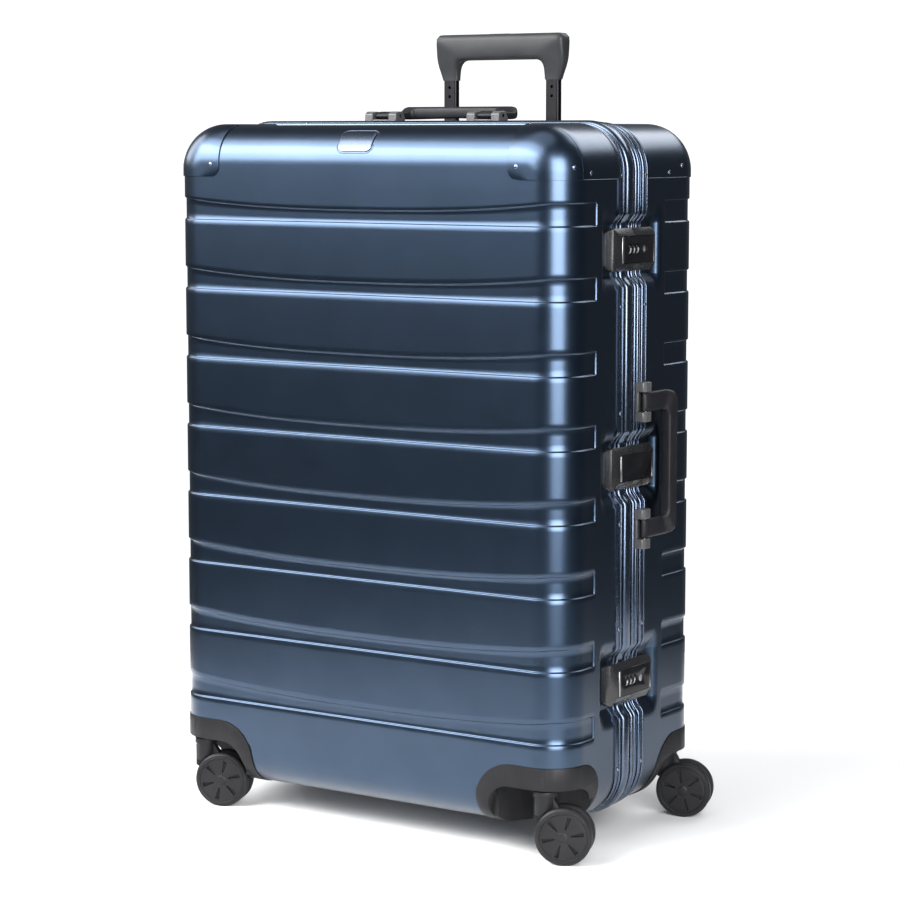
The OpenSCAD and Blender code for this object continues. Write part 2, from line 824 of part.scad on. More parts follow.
module fork(k) {
  color(BLACK) caster_at(k) difference() {
    union() {
      translate([0, 0, 52]) cylinder(r = stem_r, h = well_top - 42);
      translate([0, 0, 52]) cylinder(r = 11.2, h = 20);
      translate([0, 0, 72]) cylinder(r = 13, h = 6);
      rotate([90, 0, 0]) linear_extrude(2 * leg_half, center = true) {
        polygon([[-11, 70], [11, 70], [trail + 7, wheel_r + 6], [trail, wheel_r - 9],
                 [trail - 9, wheel_r - 2], [-11, 46]]);
        translate([trail, wheel_r]) circle(9.2);
      }
    }
    translate([trail, 0, wheel_r]) rotate([90, 0, 0])
      cylinder(r = axle_pin_r, h = 40, center = true);
    for (s = [-1, 1]) translate([trail, s * (leg_half + 20), wheel_r]) rotate([90, 0, 0])
      cylinder(r = wheel_r + 1.5, h = 40, center = true);
  }
}

module axle(k) {
  color([0.6, 0.6, 0.62]) caster_at(k) translate([trail, 0, wheel_r]) rotate([90, 0, 0])
    cylinder(r = axle_pin_r, h = 2 * (wheel_half - cap_t - 0.5), center = true);
}

// One wheel disc, its outer face up +Z at height wheel_half
module wheel_disc() {
  slots = 6;
  difference() {
    rotate_extrude($fn = 96) polygon([
      [axle_pin_r + 0.05, wheel_half - wheel_w], [wheel_r - 2, wheel_half - wheel_w],
      [wheel_r, wheel_half - wheel_w + 2], [wheel_r, wheel_half - 3],
      [wheel_r - 2.5, wheel_half - 0.8], [wheel_r - 5, wheel_half - 0.8],
      [wheel_r - 5.5, wheel_half - 1.6], [wheel_r - 6, wheel_half - 0.4],
      [9, wheel_half], [0, wheel_half], [0, wheel_half - cap_t],
      [axle_pin_r + 0.05, wheel_half - cap_t]]);
    for (a = [0:360 / slots:359]) rotate(a) translate([0, 0, wheel_half - 4])
      linear_extrude(5) polygon([[9.2, -0.8], [22.8, -2.4], [22.8, 2.4], [9.2, 0.8]]);
  }
}

module wheels(k) {
  color(BLACK) caster_at(k) translate([trail, 0, wheel_r]) for (s = [-90, 90])
    rotate([s, 0, 0]) rotate(wheel_turns[k]) wheel_disc();
}

// ---------- assembly ----------

back_shell();
back_frame();
back_rivets();
back_corner_guards();
housing(-1, 1);  // back_left_housing
housing(1, 1);  // back_right_housing
back_lining();
base_hinge_leaves();
hinge_pins();
lock_casings();
side_handle_brackets();
top_handle_brackets();
handle_bezel();
outer_tubes();
tube_foot();
frame_seal();
front_shell();
front_frame();
front_rivets();
front_corner_guards();
housing(-1, -1);  // front_left_housing
housing(1, -1);  // front_right_housing
front_lining();
lid_hinge_leaves();
lock_keepers();
badge_plate();
upper_flap();
centre_flap();
lower_flap();
dial(lock_zs[2], 0);  // upper_dial_1
dial(lock_zs[2], 1);  // upper_dial_2
dial(lock_zs[2], 2);  // upper_dial_3
dial(lock_zs[0], 0);  // lower_dial_1
dial(lock_zs[0], 1);  // lower_dial_2
dial(lock_zs[0], 2);  // lower_dial_3
dial_axle(lock_zs[2]);  // upper_dial_axle
dial_axle(lock_zs[0]);  // lower_dial_axle
key_cylinder(lock_zs[2]);  // upper_key_cylinder
key_cylinder(lock_zs[0]);  // lower_key_cylinder
side_handle();
top_handle();
side_handle_pins();
top_handle_pins();
middle_tubes();
inner_tubes();
pull_grip();
release_button();
fork(0);  // front_left_fork
axle(0);  // front_left_axle
wheels(0);  // front_left_wheels
fork(1);  // front_right_fork
axle(1);  // front_right_axle
wheels(1);  // front_right_wheels
fork(2);  // back_left_fork
axle(2);  // back_left_axle
wheels(2);  // back_left_wheels
fork(3);  // back_right_fork
axle(3);  // back_right_axle
wheels(3);  // back_right_wheels
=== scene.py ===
"""Hard shell suitcase: detailed shells, frames, guards, handles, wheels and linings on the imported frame.

Sizes come from the frame where it has them. The others repeat values of the CAD, or belong to details
that only this model has.
"""
import json
import math

import bmesh
import bpy
import numpy as np
from mathutils import Matrix, Vector


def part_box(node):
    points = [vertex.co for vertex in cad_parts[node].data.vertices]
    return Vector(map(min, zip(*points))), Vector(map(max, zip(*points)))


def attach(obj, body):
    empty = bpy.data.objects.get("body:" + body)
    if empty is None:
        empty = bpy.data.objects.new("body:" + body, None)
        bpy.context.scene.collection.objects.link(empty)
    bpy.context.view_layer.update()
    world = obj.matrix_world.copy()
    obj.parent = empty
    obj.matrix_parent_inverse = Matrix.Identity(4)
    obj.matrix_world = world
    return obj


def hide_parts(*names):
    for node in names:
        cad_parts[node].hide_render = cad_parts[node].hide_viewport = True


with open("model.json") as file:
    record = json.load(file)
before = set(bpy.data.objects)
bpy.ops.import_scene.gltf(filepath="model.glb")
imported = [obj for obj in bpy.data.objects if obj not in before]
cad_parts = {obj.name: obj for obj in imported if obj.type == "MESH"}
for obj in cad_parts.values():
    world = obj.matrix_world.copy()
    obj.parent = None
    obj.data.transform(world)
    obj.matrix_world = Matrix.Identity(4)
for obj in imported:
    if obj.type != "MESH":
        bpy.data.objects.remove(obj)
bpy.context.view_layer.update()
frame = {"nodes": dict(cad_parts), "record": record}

MM = 0.001

# ---------------------------------------- sizes
LID_LO, LID_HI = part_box("front_shell")
BASE_LO, BASE_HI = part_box("back_shell")
HALF_W = LID_HI.x
HALF_D = BASE_HI.y
BODY_Z0, BODY_Z1 = LID_LO.z, LID_HI.z
MID_Z = (BODY_Z0 + BODY_Z1) / 2
HALF_H = (BODY_Z1 - BODY_Z0) / 2
CORNER_R = 50 * MM               # corner radius seen from the front
EDGE_R = 42 * MM                 # radius of the edges round the front and the back
SHEET = 1.3 * MM                 # thickness of the shell sheet

BANDS = 8
BAND_PITCH = 78 * MM
BAND_TOP_Z = 675 * MM
BAND_DEPTH = 1.8 * MM
BAND_H = 24 * MM
BAND_MID_H = 13.4 * MM
BAND_BOW_X = 245 * MM            # where the upper edge has risen to the full band height
BAND_BOW_POWER = 2.6
BAND_EDGE = 0.9 * MM             # half width of a band's sloping edge
BAND_FRONT_END = -84 * MM        # Y where the bands end on the lid's sides
BAND_BACK_END = 61 * MM

LOCKS = ("lower", "centre", "upper")
LOCK_ZS = [sum(corner.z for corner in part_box(f"{lock}_flap")) / 2 for lock in LOCKS]
POCKET_DEPTH = HALF_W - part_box("lock_keepers")[0].x
POCKET_FLAT = 26 * MM            # half height of the pocket's flat floor
POCKET_HALF = 41 * MM            # half height at the surface
POCKET_Y = (-74 * MM, -60 * MM, 43.5 * MM, 48.6 * MM)   # surface, floor, floor, surface

ARC_STEPS = 12                   # grid lines over a rounded edge of a shell
GUARD_ARC_STEPS = 14
LINING_ARC_STEPS = 6
TOUCH = 0.01 * MM                # puts a grid line clearly on one side of a limit
QUADRANTS = ((1, 1), (-1, 1), (-1, -1), (1, -1))
CASTERS = ("front_left", "front_right", "back_left", "back_right")


def smooth(t):
    """Smooth step from 0 to 1."""
    t = np.clip(t, 0.0, 1.0)
    return t * t * (3 - 2 * t)


# ---------------------------------------- the pressed surface
def band_low(k):
    """Height of the straight lower edge of band k, counted from the top."""
    return BAND_TOP_Z - k * BAND_PITCH


def band_high(k, x):
    """Height of the bowed upper edge of band k at x."""
    t = np.minimum(np.abs(x) / BAND_BOW_X, 1.0) ** BAND_BOW_POWER
    return band_low(k) + BAND_MID_H + (BAND_H - BAND_MID_H) * t


def pocket_dip(z):
    """How far the surface is pressed in at height z by the lock pockets, as a share of their depth."""
    share = np.zeros_like(z)
    for zc in LOCK_ZS:
        share = np.maximum(share, 1 - smooth((np.abs(z - zc) - POCKET_FLAT) / (POCKET_HALF - POCKET_FLAT)))
    return share


def pressed_depth(p, band_end):
    """Depth of bands and pockets at the points p of the sharp-edged case."""
    x, y, z = p[:, 0], p[:, 1], p[:, 2]
    band = np.zeros(len(p))
    for k in range(BANDS):
        rise = smooth((z - band_low(k)) / (2 * BAND_EDGE) + 0.5)
        fall = smooth((band_high(k, x) - z) / (2 * BAND_EDGE) + 0.5)
        band = np.maximum(band, rise * fall)
    side = np.abs(x) > HALF_W - 1e-6
    inside = smooth((np.abs(y) - abs(band_end)) / (2 * BAND_EDGE) + 0.5)
    band = np.where(side, band * inside, band) * BAND_DEPTH
    across = smooth((y - POCKET_Y[0]) / (POCKET_Y[1] - POCKET_Y[0])) * smooth(
        (POCKET_Y[3] - y) / (POCKET_Y[3] - POCKET_Y[2]))
    pocket = np.where(x > HALF_W - 1e-6, pocket_dip(z) * across * POCKET_DEPTH, 0)
    return np.maximum(band, pocket)


def on_case(p, grow=0.0, depth=None):
    """Moves points of the sharp-edged half case (front at -HALF_D) onto its rounded surface."""
    x, y, z = p[:, 0], p[:, 1], p[:, 2] - MID_Z
    inner_x, inner_z = HALF_W - CORNER_R, HALF_H - CORNER_R
    dx = np.sign(x) * np.maximum(np.abs(x) - inner_x, 0)
    dz = np.sign(z) * np.maximum(np.abs(z) - inner_z, 0)
    m = np.maximum(np.abs(dx), np.abs(dz))
    length = np.maximum(np.hypot(dx, dz), 1e-12)
    nx, nz = dx / length, dz / length
    flat = CORNER_R - EDGE_R
    t = np.clip(m - flat, 0, EDGE_R)
    ty = np.clip(-y - (HALF_D - EDGE_R), 0, EDGE_R)
    span = np.maximum(np.hypot(t, ty), 1e-12)
    out, fwd = t / span * EDGE_R, ty / span * EDGE_R
    radial = np.where(m > flat, flat + out, m)
    yy = np.where(ty > 0, -(HALF_D - EDGE_R) - fwd, y)
    normal = np.stack([nx * out, -fwd, nz * out], 1) / EDGE_R
    base = np.stack([np.clip(x, -inner_x, inner_x) + nx * radial, yy,
                     np.clip(z, -inner_z, inner_z) + nz * radial + MID_Z], 1)
    shift = np.full(len(p), float(grow)) - (0 if depth is None else depth)
    return base + normal * shift[:, None]


def to_body(p, body):
    """Points are worked out for the lid; the base is its mirror image in Y."""
    return p * (1, -1, 1) if body == "base" else p


def arc_lines(edge, r, sign, steps):
    """Grid lines over a rounded edge, even in angle, ending at the sharp edge."""
    return [edge - sign * r * (1 - math.tan(math.radians(45) * i / steps)) for i in range(steps + 1)]


def spread(values, a, b, step):
    """Adds evenly spaced lines between a and b, both left out."""
    n = max(1, int(round(abs(b - a) / step)))
    values += [a + (b - a) * i / n for i in range(1, n)]


EDGE_OFFSETS = [-1.1 * BAND_EDGE, -0.55 * BAND_EDGE, 0, 0.55 * BAND_EDGE, 1.1 * BAND_EDGE]


def row_rules(extra):
    """Grid rows from the bottom to the top as functions of x, with extra ones near the top."""
    rules = []

    def fixed(z):
        """Adds a level row."""
        rules.append(lambda x, z=z: np.full_like(x, z))

    low = band_low(BANDS - 1)
    for z in reversed(arc_lines(BODY_Z0, CORNER_R, -1, ARC_STEPS)):
        fixed(z)
    gap_lines = []
    spread(gap_lines, BODY_Z0 + CORNER_R, low - 1.1 * BAND_EDGE, 6 * MM)
    for z in gap_lines:
        fixed(z)
    for k in reversed(range(BANDS)):
        for o in EDGE_OFFSETS:
            fixed(band_low(k) + o)
        for s in (0.33, 0.67):
            rules.append(lambda x, k=k, s=s: band_low(k) * (1 - s) + band_high(k, x) * s)
        for o in EDGE_OFFSETS:
            rules.append(lambda x, k=k, o=o: band_high(k, x) + o)
        top = band_low(k - 1) - 1.1 * BAND_EDGE if k else BODY_Z1 - CORNER_R
        for i in range(1, 10):
            s = i / 10
            rules.append(lambda x, k=k, s=s, t=top: (band_high(k, x) + 1.1 * BAND_EDGE) * (1 - s) + t * s)
    for z in sorted(arc_lines(BODY_Z1, CORNER_R, 1, ARC_STEPS) + list(extra)):
        fixed(z)
    return rules


def x_lines(extra):
    """Lines from side to side, with extra ones."""
    ends = arc_lines(HALF_W, CORNER_R, 1, ARC_STEPS)
    inner = []
    spread(inner, -(HALF_W - CORNER_R), HALF_W - CORNER_R, 9 * MM)
    return [-v for v in reversed(ends)] + sorted(inner + list(extra)) + ends


def y_lines(y_open, band_end, extra):
    """Lines from the open rim to the front edge; band ends and pocket walls get finer ones."""
    lines = [y_open]
    marks = sorted({-POCKET_Y[0], -POCKET_Y[1], abs(band_end)} if y_open < 0 else
                   {POCKET_Y[2], POCKET_Y[3], abs(band_end)})
    last = abs(y_open)
    reach = 1.5 * MM
    for m in marks:
        if m - reach - MM > last:
            spread(lines, last, m - reach, 4 * MM)
        near = [m + o * MM for o in (-1.5, -0.8, -0.3, 0.3, 0.8, 1.5)]
        lines += [v for v in near if v > last]
        last = m + reach
    spread(lines, last, HALF_D - EDGE_R, 5 * MM)
    lines += list(extra) + arc_lines(HALF_D, EDGE_R, 1, ARC_STEPS)
    return [-v for v in sorted({round(abs(v), 7) for v in lines})]


def add_patch(bm, points, rows, cols, drop=None, cut=None):
    """A grid patch from points, row by row.

    Cells wholly inside drop, or partly inside cut, are left out.
    """
    verts = [bm.verts.new(p) for p in points]
    for r in range(rows - 1):
        for c in range(cols - 1):
            ids = (r * cols + c, r * cols + c + 1, (r + 1) * cols + c + 1, (r + 1) * cols + c)
            if drop is not None and all(drop[i] for i in ids):
                continue
            if cut is not None and any(cut[i] for i in ids):
                continue
            bm.faces.new([verts[i] for i in ids])


def new_object(name, bm, material, body, smooth_angle=None):
    """Makes a piece that rides on a body, smooth all over or up to an angle."""
    mesh = bpy.data.meshes.new(name)
    bm.to_mesh(mesh)
    bm.free()
    for poly in mesh.polygons:
        poly.use_smooth = True
    if smooth_angle is not None:
        mesh.set_sharp_from_angle(angle=math.radians(smooth_angle))
    ob = bpy.data.objects.new(name, mesh)
    bpy.context.scene.collection.objects.link(ob)
    mesh.materials.append(material)
    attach(ob, body)
    return ob


def thicken(ob, thickness, offset=-1):
    """Gives a sheet its thickness: offset -1 inwards, 1 outwards."""
    solid = ob.modifiers.new("thickness", "SOLIDIFY")
    solid.thickness = thickness
    solid.offset = offset


def soften(ob, width, segments, angle):
    """Rounds the edges that are sharper than an angle in degrees."""
    edge = ob.modifiers.new("soft_edges", "BEVEL")
    edge.width = width
    edge.segments = segments
    edge.limit_method = "ANGLE"
    edge.angle_limit = math.radians(angle)
    return edge


def stand_for(ob, node):
    """The piece takes a CAD node's place."""
    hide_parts(node)


# ---------------------------------------- materials
GRAIN_HEIGHT = 0.0002
THREAD_HEIGHT = 0.0004


def node_material(name):
    """A new material with its node tree and its shader."""
    mat = bpy.data.materials.new(name)
    mat.use_nodes = True
    nt = mat.node_tree
    return mat, nt, nt.nodes["Principled BSDF"]


def noise(nt, scale, detail=3.0, rough=0.5, stretch=None):
    """Noise in object coordinates, in metres."""
    coord = nt.nodes.new("ShaderNodeTexCoord")
    tex = nt.nodes.new("ShaderNodeTexNoise")
    tex.inputs["Scale"].default_value = scale
    tex.inputs["Detail"].default_value = detail
    tex.inputs["Roughness"].default_value = rough
    if stretch:
        mapping = nt.nodes.new("ShaderNodeMapping")
        mapping.inputs["Scale"].default_value = stretch
        nt.links.new(coord.outputs["Object"], mapping.inputs["Vector"])
        nt.links.new(mapping.outputs["Vector"], tex.inputs["Vector"])
    else:
        nt.links.new(coord.outputs["Object"], tex.inputs["Vector"])
    return tex.outputs["Fac"]


def ramp(nt, fac, stops):
    """Colour ramp with stops of (position, colour)."""
    node = nt.nodes.new("ShaderNodeValToRGB")
    node.color_ramp.elements[0].position = stops[0][0]
    node.color_ramp.elements[0].color = (*stops[0][1], 1)
    node.color_ramp.elements[1].position = stops[-1][0]
    node.color_ramp.elements[1].color = (*stops[-1][1], 1)
    for pos, col in stops[1:-1]:
        e = node.color_ramp.elements.new(pos)
        e.color = (*col, 1)
    nt.links.new(fac, node.inputs["Fac"])
    return node.outputs["Color"]


def span(nt, fac, lo, hi):
    """Maps 0..1 to lo..hi."""
    node = nt.nodes.new("ShaderNodeMapRange")
    node.inputs["To Min"].default_value = lo
    node.inputs["To Max"].default_value = hi
    nt.links.new(fac, node.inputs["Value"])
    return node.outputs["Result"]


def bump(nt, height, strength, distance):
    """Normal from a height."""
    node = nt.nodes.new("ShaderNodeBump")
    node.inputs["Strength"].default_value = strength
    node.inputs["Distance"].default_value = distance
    nt.links.new(height, node.inputs["Height"])
    return node.outputs["Normal"]


def anodised(name, dark, light, rough, coat, grain=0.10):
    """Bead-blasted anodised aluminium: fine grain, faint clouding, and a clear sealed layer over it."""
    mat, nt, bsdf = node_material(name)
    bsdf.inputs["Metallic"].default_value = 1.0
    bsdf.inputs["Coat Weight"].default_value = coat
    bsdf.inputs["Coat Roughness"].default_value = rough[0]
    bsdf.inputs["Coat IOR"].default_value = 1.6
    nt.links.new(ramp(nt, noise(nt, 14, 2), [(0.3, dark), (0.7, light)]), bsdf.inputs["Base Color"])
    nt.links.new(span(nt, noise(nt, 60, 3), *rough), bsdf.inputs["Roughness"])
    nt.links.new(bump(nt, noise(nt, 2600, 2, 0.7), grain, GRAIN_HEIGHT), bsdf.inputs["Normal"])
    return mat


def moulded(name, dark, light, rough=(0.36, 0.5), grain=1500, strength=0.25, shine=0.16):
    """Moulded plastic with a fine spark-eroded texture."""
    mat, nt, bsdf = node_material(name)
    bsdf.inputs["Specular IOR Level"].default_value = shine
    nt.links.new(ramp(nt, noise(nt, 40, 3), [(0.3, dark), (0.7, light)]), bsdf.inputs["Base Color"])
    nt.links.new(span(nt, noise(nt, 220, 2), *rough), bsdf.inputs["Roughness"])
    nt.links.new(bump(nt, noise(nt, grain, 2, 0.6), strength, GRAIN_HEIGHT), bsdf.inputs["Normal"])
    return mat


def metal(name, dark, light, rough=(0.2, 0.35)):
    """Turned or drawn bare metal."""
    mat, nt, bsdf = node_material(name)
    bsdf.inputs["Metallic"].default_value = 1.0
    drawn = noise(nt, 300, 3, 0.6, (1, 1, 0.05))
    nt.links.new(ramp(nt, drawn, [(0.3, dark), (0.7, light)]), bsdf.inputs["Base Color"])
    nt.links.new(span(nt, noise(nt, 500, 2), *rough), bsdf.inputs["Roughness"])
    return mat


def woven(name, dark, light):
    """Lining cloth: two crossed sets of threads as colour and height."""
    mat, nt, bsdf = node_material(name)
    coord = nt.nodes.new("ShaderNodeTexCoord")
    waves = []
    for axis in ("X", "Z"):
        w = nt.nodes.new("ShaderNodeTexWave")
        w.bands_direction = axis
        w.inputs["Scale"].default_value = 320
        w.inputs["Distortion"].default_value = 0.4
        nt.links.new(coord.outputs["Object"], w.inputs["Vector"])
        waves.append(w.outputs["Fac"])
    mul = nt.nodes.new("ShaderNodeMath")
    mul.operation = "MULTIPLY"
    nt.links.new(waves[0], mul.inputs[0])
    nt.links.new(waves[1], mul.inputs[1])
    nt.links.new(ramp(nt, mul.outputs[0], [(0.1, dark), (0.8, light)]), bsdf.inputs["Base Color"])
    bsdf.inputs["Roughness"].default_value = 0.8
    bsdf.inputs["Sheen Weight"].default_value = 0.3
    nt.links.new(bump(nt, mul.outputs[0], 0.35, THREAD_HEIGHT), bsdf.inputs["Normal"])
    return mat


NAVY = anodised("navy_anodised", (0.019, 0.041, 0.078), (0.024, 0.048, 0.088), (0.27, 0.33), 0.5)
FRAME_NAVY = anodised("navy_frame", (0.044, 0.068, 0.112), (0.054, 0.080, 0.128), (0.24, 0.30), 0.7, 0.03)
RIVET_BLUE = metal("rivet_metal", (0.16, 0.20, 0.28), (0.22, 0.26, 0.34))
HOUSING_BLACK = moulded("housing_plastic", (0.008, 0.008, 0.009), (0.012, 0.012, 0.013), (0.38, 0.50))
HANDLE_BLACK = moulded("handle_plastic", (0.008, 0.008, 0.010), (0.012, 0.012, 0.014), (0.34, 0.46))
GRIP_BLACK = moulded("grip_plastic", (0.020, 0.021, 0.023), (0.027, 0.028, 0.030), (0.30, 0.40))
BRACKET_GREY = moulded("bracket_grey", (0.050, 0.050, 0.052), (0.062, 0.062, 0.064), (0.26, 0.36), shine=0.5)
LOCK_BLACK = moulded("lock_plastic", (0.008, 0.008, 0.009), (0.012, 0.012, 0.013), (0.22, 0.30), 2200, 0.12,
                     shine=0.6)
PANEL_BLACK = moulded("lock_panel", (0.005, 0.005, 0.006), (0.008, 0.008, 0.009), (0.14, 0.20), 2600, 0.06)
DIAL_BLACK = moulded("dial_plastic", (0.006, 0.006, 0.007), (0.009, 0.009, 0.010), (0.3, 0.4))
DISC_BLACK = moulded("wheel_disc", (0.009, 0.009, 0.010), (0.013, 0.013, 0.014), (0.38, 0.5))
SEAL_BLACK = moulded("seal_rubber", (0.010, 0.010, 0.010), (0.016, 0.016, 0.016), (0.6, 0.75))
TUBE_BLACK = metal("tube_black_anodised", (0.013, 0.013, 0.014), (0.018, 0.018, 0.020), (0.3, 0.4))
STEEL = metal("steel", (0.42, 0.42, 0.44), (0.55, 0.55, 0.57))
TUBE_GREY = metal("tube_aluminium", (0.32, 0.33, 0.35), (0.42, 0.43, 0.45))
PRINT_WHITE = moulded("printed_white", (0.70, 0.70, 0.70), (0.80, 0.80, 0.80), (0.4, 0.5))
# Satin grey for the flap lips, lighter than the flaps: partly their own tone, partly a painted highlight for
# the bright reflection on the flaps' front bevels
LIP_GREY_AND_HIGHLIGHT = metal("lip_grey_and_highlight", (0.26, 0.26, 0.27), (0.34, 0.34, 0.35), (0.3, 0.4))
LINING = woven("lining_cloth", (0.018, 0.019, 0.024), (0.05, 0.052, 0.062))


# ---------------------------------------- carried-over CAD nodes
def finish_cad(node, material, bevel):
    """Gives a CAD node its material and soft edges."""
    ob = frame["nodes"][node]
    ob.data.materials.clear()
    ob.data.materials.append(material)
    weld = ob.modifiers.new("weld", "WELD")
    weld.merge_threshold = 0.01 * MM
    if bevel:
        soften(ob, bevel, 2, 25).harden_normals = True
    else:
        split = ob.modifiers.new("sharp_edges", "EDGE_SPLIT")
        split.split_angle = math.radians(35)
    for poly in ob.data.polygons:
        poly.use_smooth = True


for name, material, bevel in (
    ("back_left_housing", HOUSING_BLACK, 0.8), ("back_right_housing", HOUSING_BLACK, 0.8),
    ("front_left_housing", HOUSING_BLACK, 0.8), ("front_right_housing", HOUSING_BLACK, 0.8),
    ("handle_bezel", HOUSING_BLACK, 0.8), ("tube_foot", HOUSING_BLACK, 0.6),
    ("base_hinge_leaves", FRAME_NAVY, 0.3), ("lid_hinge_leaves", FRAME_NAVY, 0.3),
    ("hinge_pins", STEEL, 0.2), ("side_handle_pins", STEEL, 0), ("top_handle_pins", STEEL, 0),
    ("upper_dial_axle", STEEL, 0), ("lower_dial_axle", STEEL, 0),
    ("upper_key_cylinder", STEEL, 0.2), ("lower_key_cylinder", STEEL, 0.2),
    ("lock_casings", LOCK_BLACK, 0.6), ("lock_keepers", LOCK_BLACK, 0.6),
    ("upper_flap", PANEL_BLACK, 0.3), ("centre_flap", PANEL_BLACK, 0.3), ("lower_flap", PANEL_BLACK, 0.3),
    ("release_button", HANDLE_BLACK, 0.4),
    ("outer_tubes", TUBE_GREY, 0), ("middle_tubes", TUBE_BLACK, 0), ("inner_tubes", TUBE_BLACK, 0),
    ("frame_seal", SEAL_BLACK, 0),
    *[(f"{lock}_dial_{i}", DIAL_BLACK, 0.2) for lock in ("upper", "lower") for i in (1, 2, 3)],
    *[(f"{c}_{part}", mat, b) for c in CASTERS
      for part, mat, b in (("fork", HOUSING_BLACK, 0.6), ("axle", STEEL, 0.2), ("wheels", DISC_BLACK, 0.5))],
):
    finish_cad(name, material, bevel * MM)


# ---------------------------------------- shells
HOUSING_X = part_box("front_right_housing")[0].x
HOUSING_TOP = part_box("front_right_housing")[1].z
HOUSING_R = 44 * MM
LID_SIDE = (75 * MM, 30 * MM)       # where a housing starts on the side, corner radius
BASE_SIDE = (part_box("back_right_housing")[0].y, 48 * MM)
HOUSING_MARGIN = 0.3 * MM           # how far the sheet runs on behind a housing


def in_round_block(u, z, start, r):
    """True inside a housing's outline, less the margin: u past start, z below the top, corner radius r."""
    m = HOUSING_MARGIN
    corner = (u < start + r) & (z > HOUSING_TOP - r)
    far = np.hypot(u - start - r, z - HOUSING_TOP + r) > r - m
    return (u > start + m) & (z < HOUSING_TOP - m) & ~(corner & far)


def behind_housing(p, side):
    """True where a wheel housing covers or replaces the sheet."""
    return (in_round_block(np.abs(p[:, 0]), p[:, 2], HOUSING_X, HOUSING_R)
            & in_round_block(np.abs(p[:, 1]), p[:, 2], *side))


def half_patches(xs, ys, rows, edge_rows):
    """Five patches of the sharp-edged half case: front, two sides, top and bottom."""
    n_rows = len(rows)
    front = [(x, -HALF_D, rows[r, c]) for r in range(n_rows) for c, x in enumerate(xs)]
    patches = [(np.array(front), n_rows, len(xs))]
    for s in (-1, 1):
        side = [(s * HALF_W, y, z) for z in edge_rows for y in ys]
        patches.append((np.array(side), n_rows, len(ys)))
        wall = [(x, y, MID_Z + s * HALF_H) for y in ys for x in xs]
        patches.append((np.array(wall), len(ys), len(xs)))
    return patches


def half_shell(name, body, y_open, band_end, housing_side, cut, extra):
    """One pressed half shell as a sheet with real bands and pockets; extra has more lines in x, y and z."""
    xs = np.array(x_lines(extra[0]))
    ys = y_lines(y_open, band_end, extra[1])
    rules = row_rules(extra[2])
    bm = bmesh.new()
    rows = np.array([rule(xs) for rule in rules])
    edge_rows = np.array([rule(np.array([HALF_W])) for rule in rules])[:, 0]
    for p, n, m in half_patches(xs, ys, rows, edge_rows):
        real = to_body(p, body)
        out = to_body(on_case(p, 0.0, pressed_depth(real, band_end)), body)
        add_patch(bm, out, n, m, behind_housing(real, housing_side), None if cut is None else cut(real))
    join_patches(bm)
    loose = [v for v in bm.verts if not v.link_faces]
    bmesh.ops.delete(bm, geom=loose, context="VERTS")
    ob = new_object(name, bm, NAVY, body)
    thicken(ob, SHEET)
    return ob


def join_patches(bm, dist=1e-6):
    """Joins the patches of a sheet and turns it so that its faces look away from the middle of the case."""
    bmesh.ops.remove_doubles(bm, verts=bm.verts, dist=dist)
    bmesh.ops.recalc_face_normals(bm, faces=bm.faces)
    centre = Vector((0, 0, MID_Z))
    votes = sum(1 if f.normal.dot(f.calc_center_median() - centre) > 0 else -1 for f in bm.faces)
    if votes < 0:
        bmesh.ops.reverse_faces(bm, faces=bm.faces)


BEZEL_LO, BEZEL_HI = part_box("handle_bezel")
BEZEL_RIM = 2 * MM                # how far the sheet runs on under the bezel


def behind_bezel(p):
    """True where the cup of the pull handle replaces the sheet."""
    m = BEZEL_RIM + TOUCH
    return ((p[:, 0] > BEZEL_LO.x + m) & (p[:, 0] < BEZEL_HI.x - m) & (p[:, 1] > BEZEL_LO.y + m)
            & (p[:, 2] > BEZEL_LO.z + m))


HOUSING_LINES = ((), (LID_SIDE[0] + HOUSING_MARGIN + TOUCH,), ())
BEZEL_LINES = ((BEZEL_LO.x + BEZEL_RIM, BEZEL_HI.x - BEZEL_RIM),
               (BEZEL_LO.y + BEZEL_RIM,), (BEZEL_LO.z + BEZEL_RIM,))
lid = half_shell("lid_shell", "lid", LID_HI.y, BAND_FRONT_END, LID_SIDE, None, HOUSING_LINES)
stand_for(lid, "front_shell")
base = half_shell("base_shell", "base", -BASE_LO.y, BAND_BACK_END, BASE_SIDE, behind_bezel, BEZEL_LINES)
stand_for(base, "back_shell")


# ---------------------------------------- frame rings
def frame_path():
    """Points round the case seen from the front as (x, z, normal x, normal z), and their dips at the locks.

    They run anticlockwise from the upper right corner, and last up the right side past the locks.
    """
    pts = []
    cx, cz = HALF_W - CORNER_R, HALF_H - CORNER_R
    steps = 16
    for i, (sx, sz) in enumerate(QUADRANTS):
        for s in range(steps + 1):
            a = math.radians(90 * i + 90 * s / steps)
            pts.append((sx * cx + CORNER_R * math.cos(a), sz * cz + CORNER_R * math.sin(a) + MID_Z,
                        math.cos(a), math.sin(a)))
    z_lines = []
    for zc in LOCK_ZS:
        spread(z_lines, zc - POCKET_HALF - 2 * MM, zc + POCKET_HALF + 2 * MM, 2.5 * MM)
    for z in sorted(z_lines):
        pts.append((HALF_W, z, 1.0, 0.0))
    p = np.array(pts)
    on_right = p[:, 2] > 0.999
    dip = np.where(on_right, pocket_dip(p[:, 1]) * POCKET_DEPTH, 0)
    return p, dip


def close_rings(bm, rings):
    """Skins rings of equal length, from each to the next and from the last to the first."""
    n, m = len(rings), len(rings[0])
    for i in range(n):
        a, b = rings[i], rings[(i + 1) % n]
        for j in range(m):
            bm.faces.new([a[j], a[(j + 1) % m], b[(j + 1) % m], b[j]])
    bmesh.ops.recalc_face_normals(bm, faces=bm.faces)


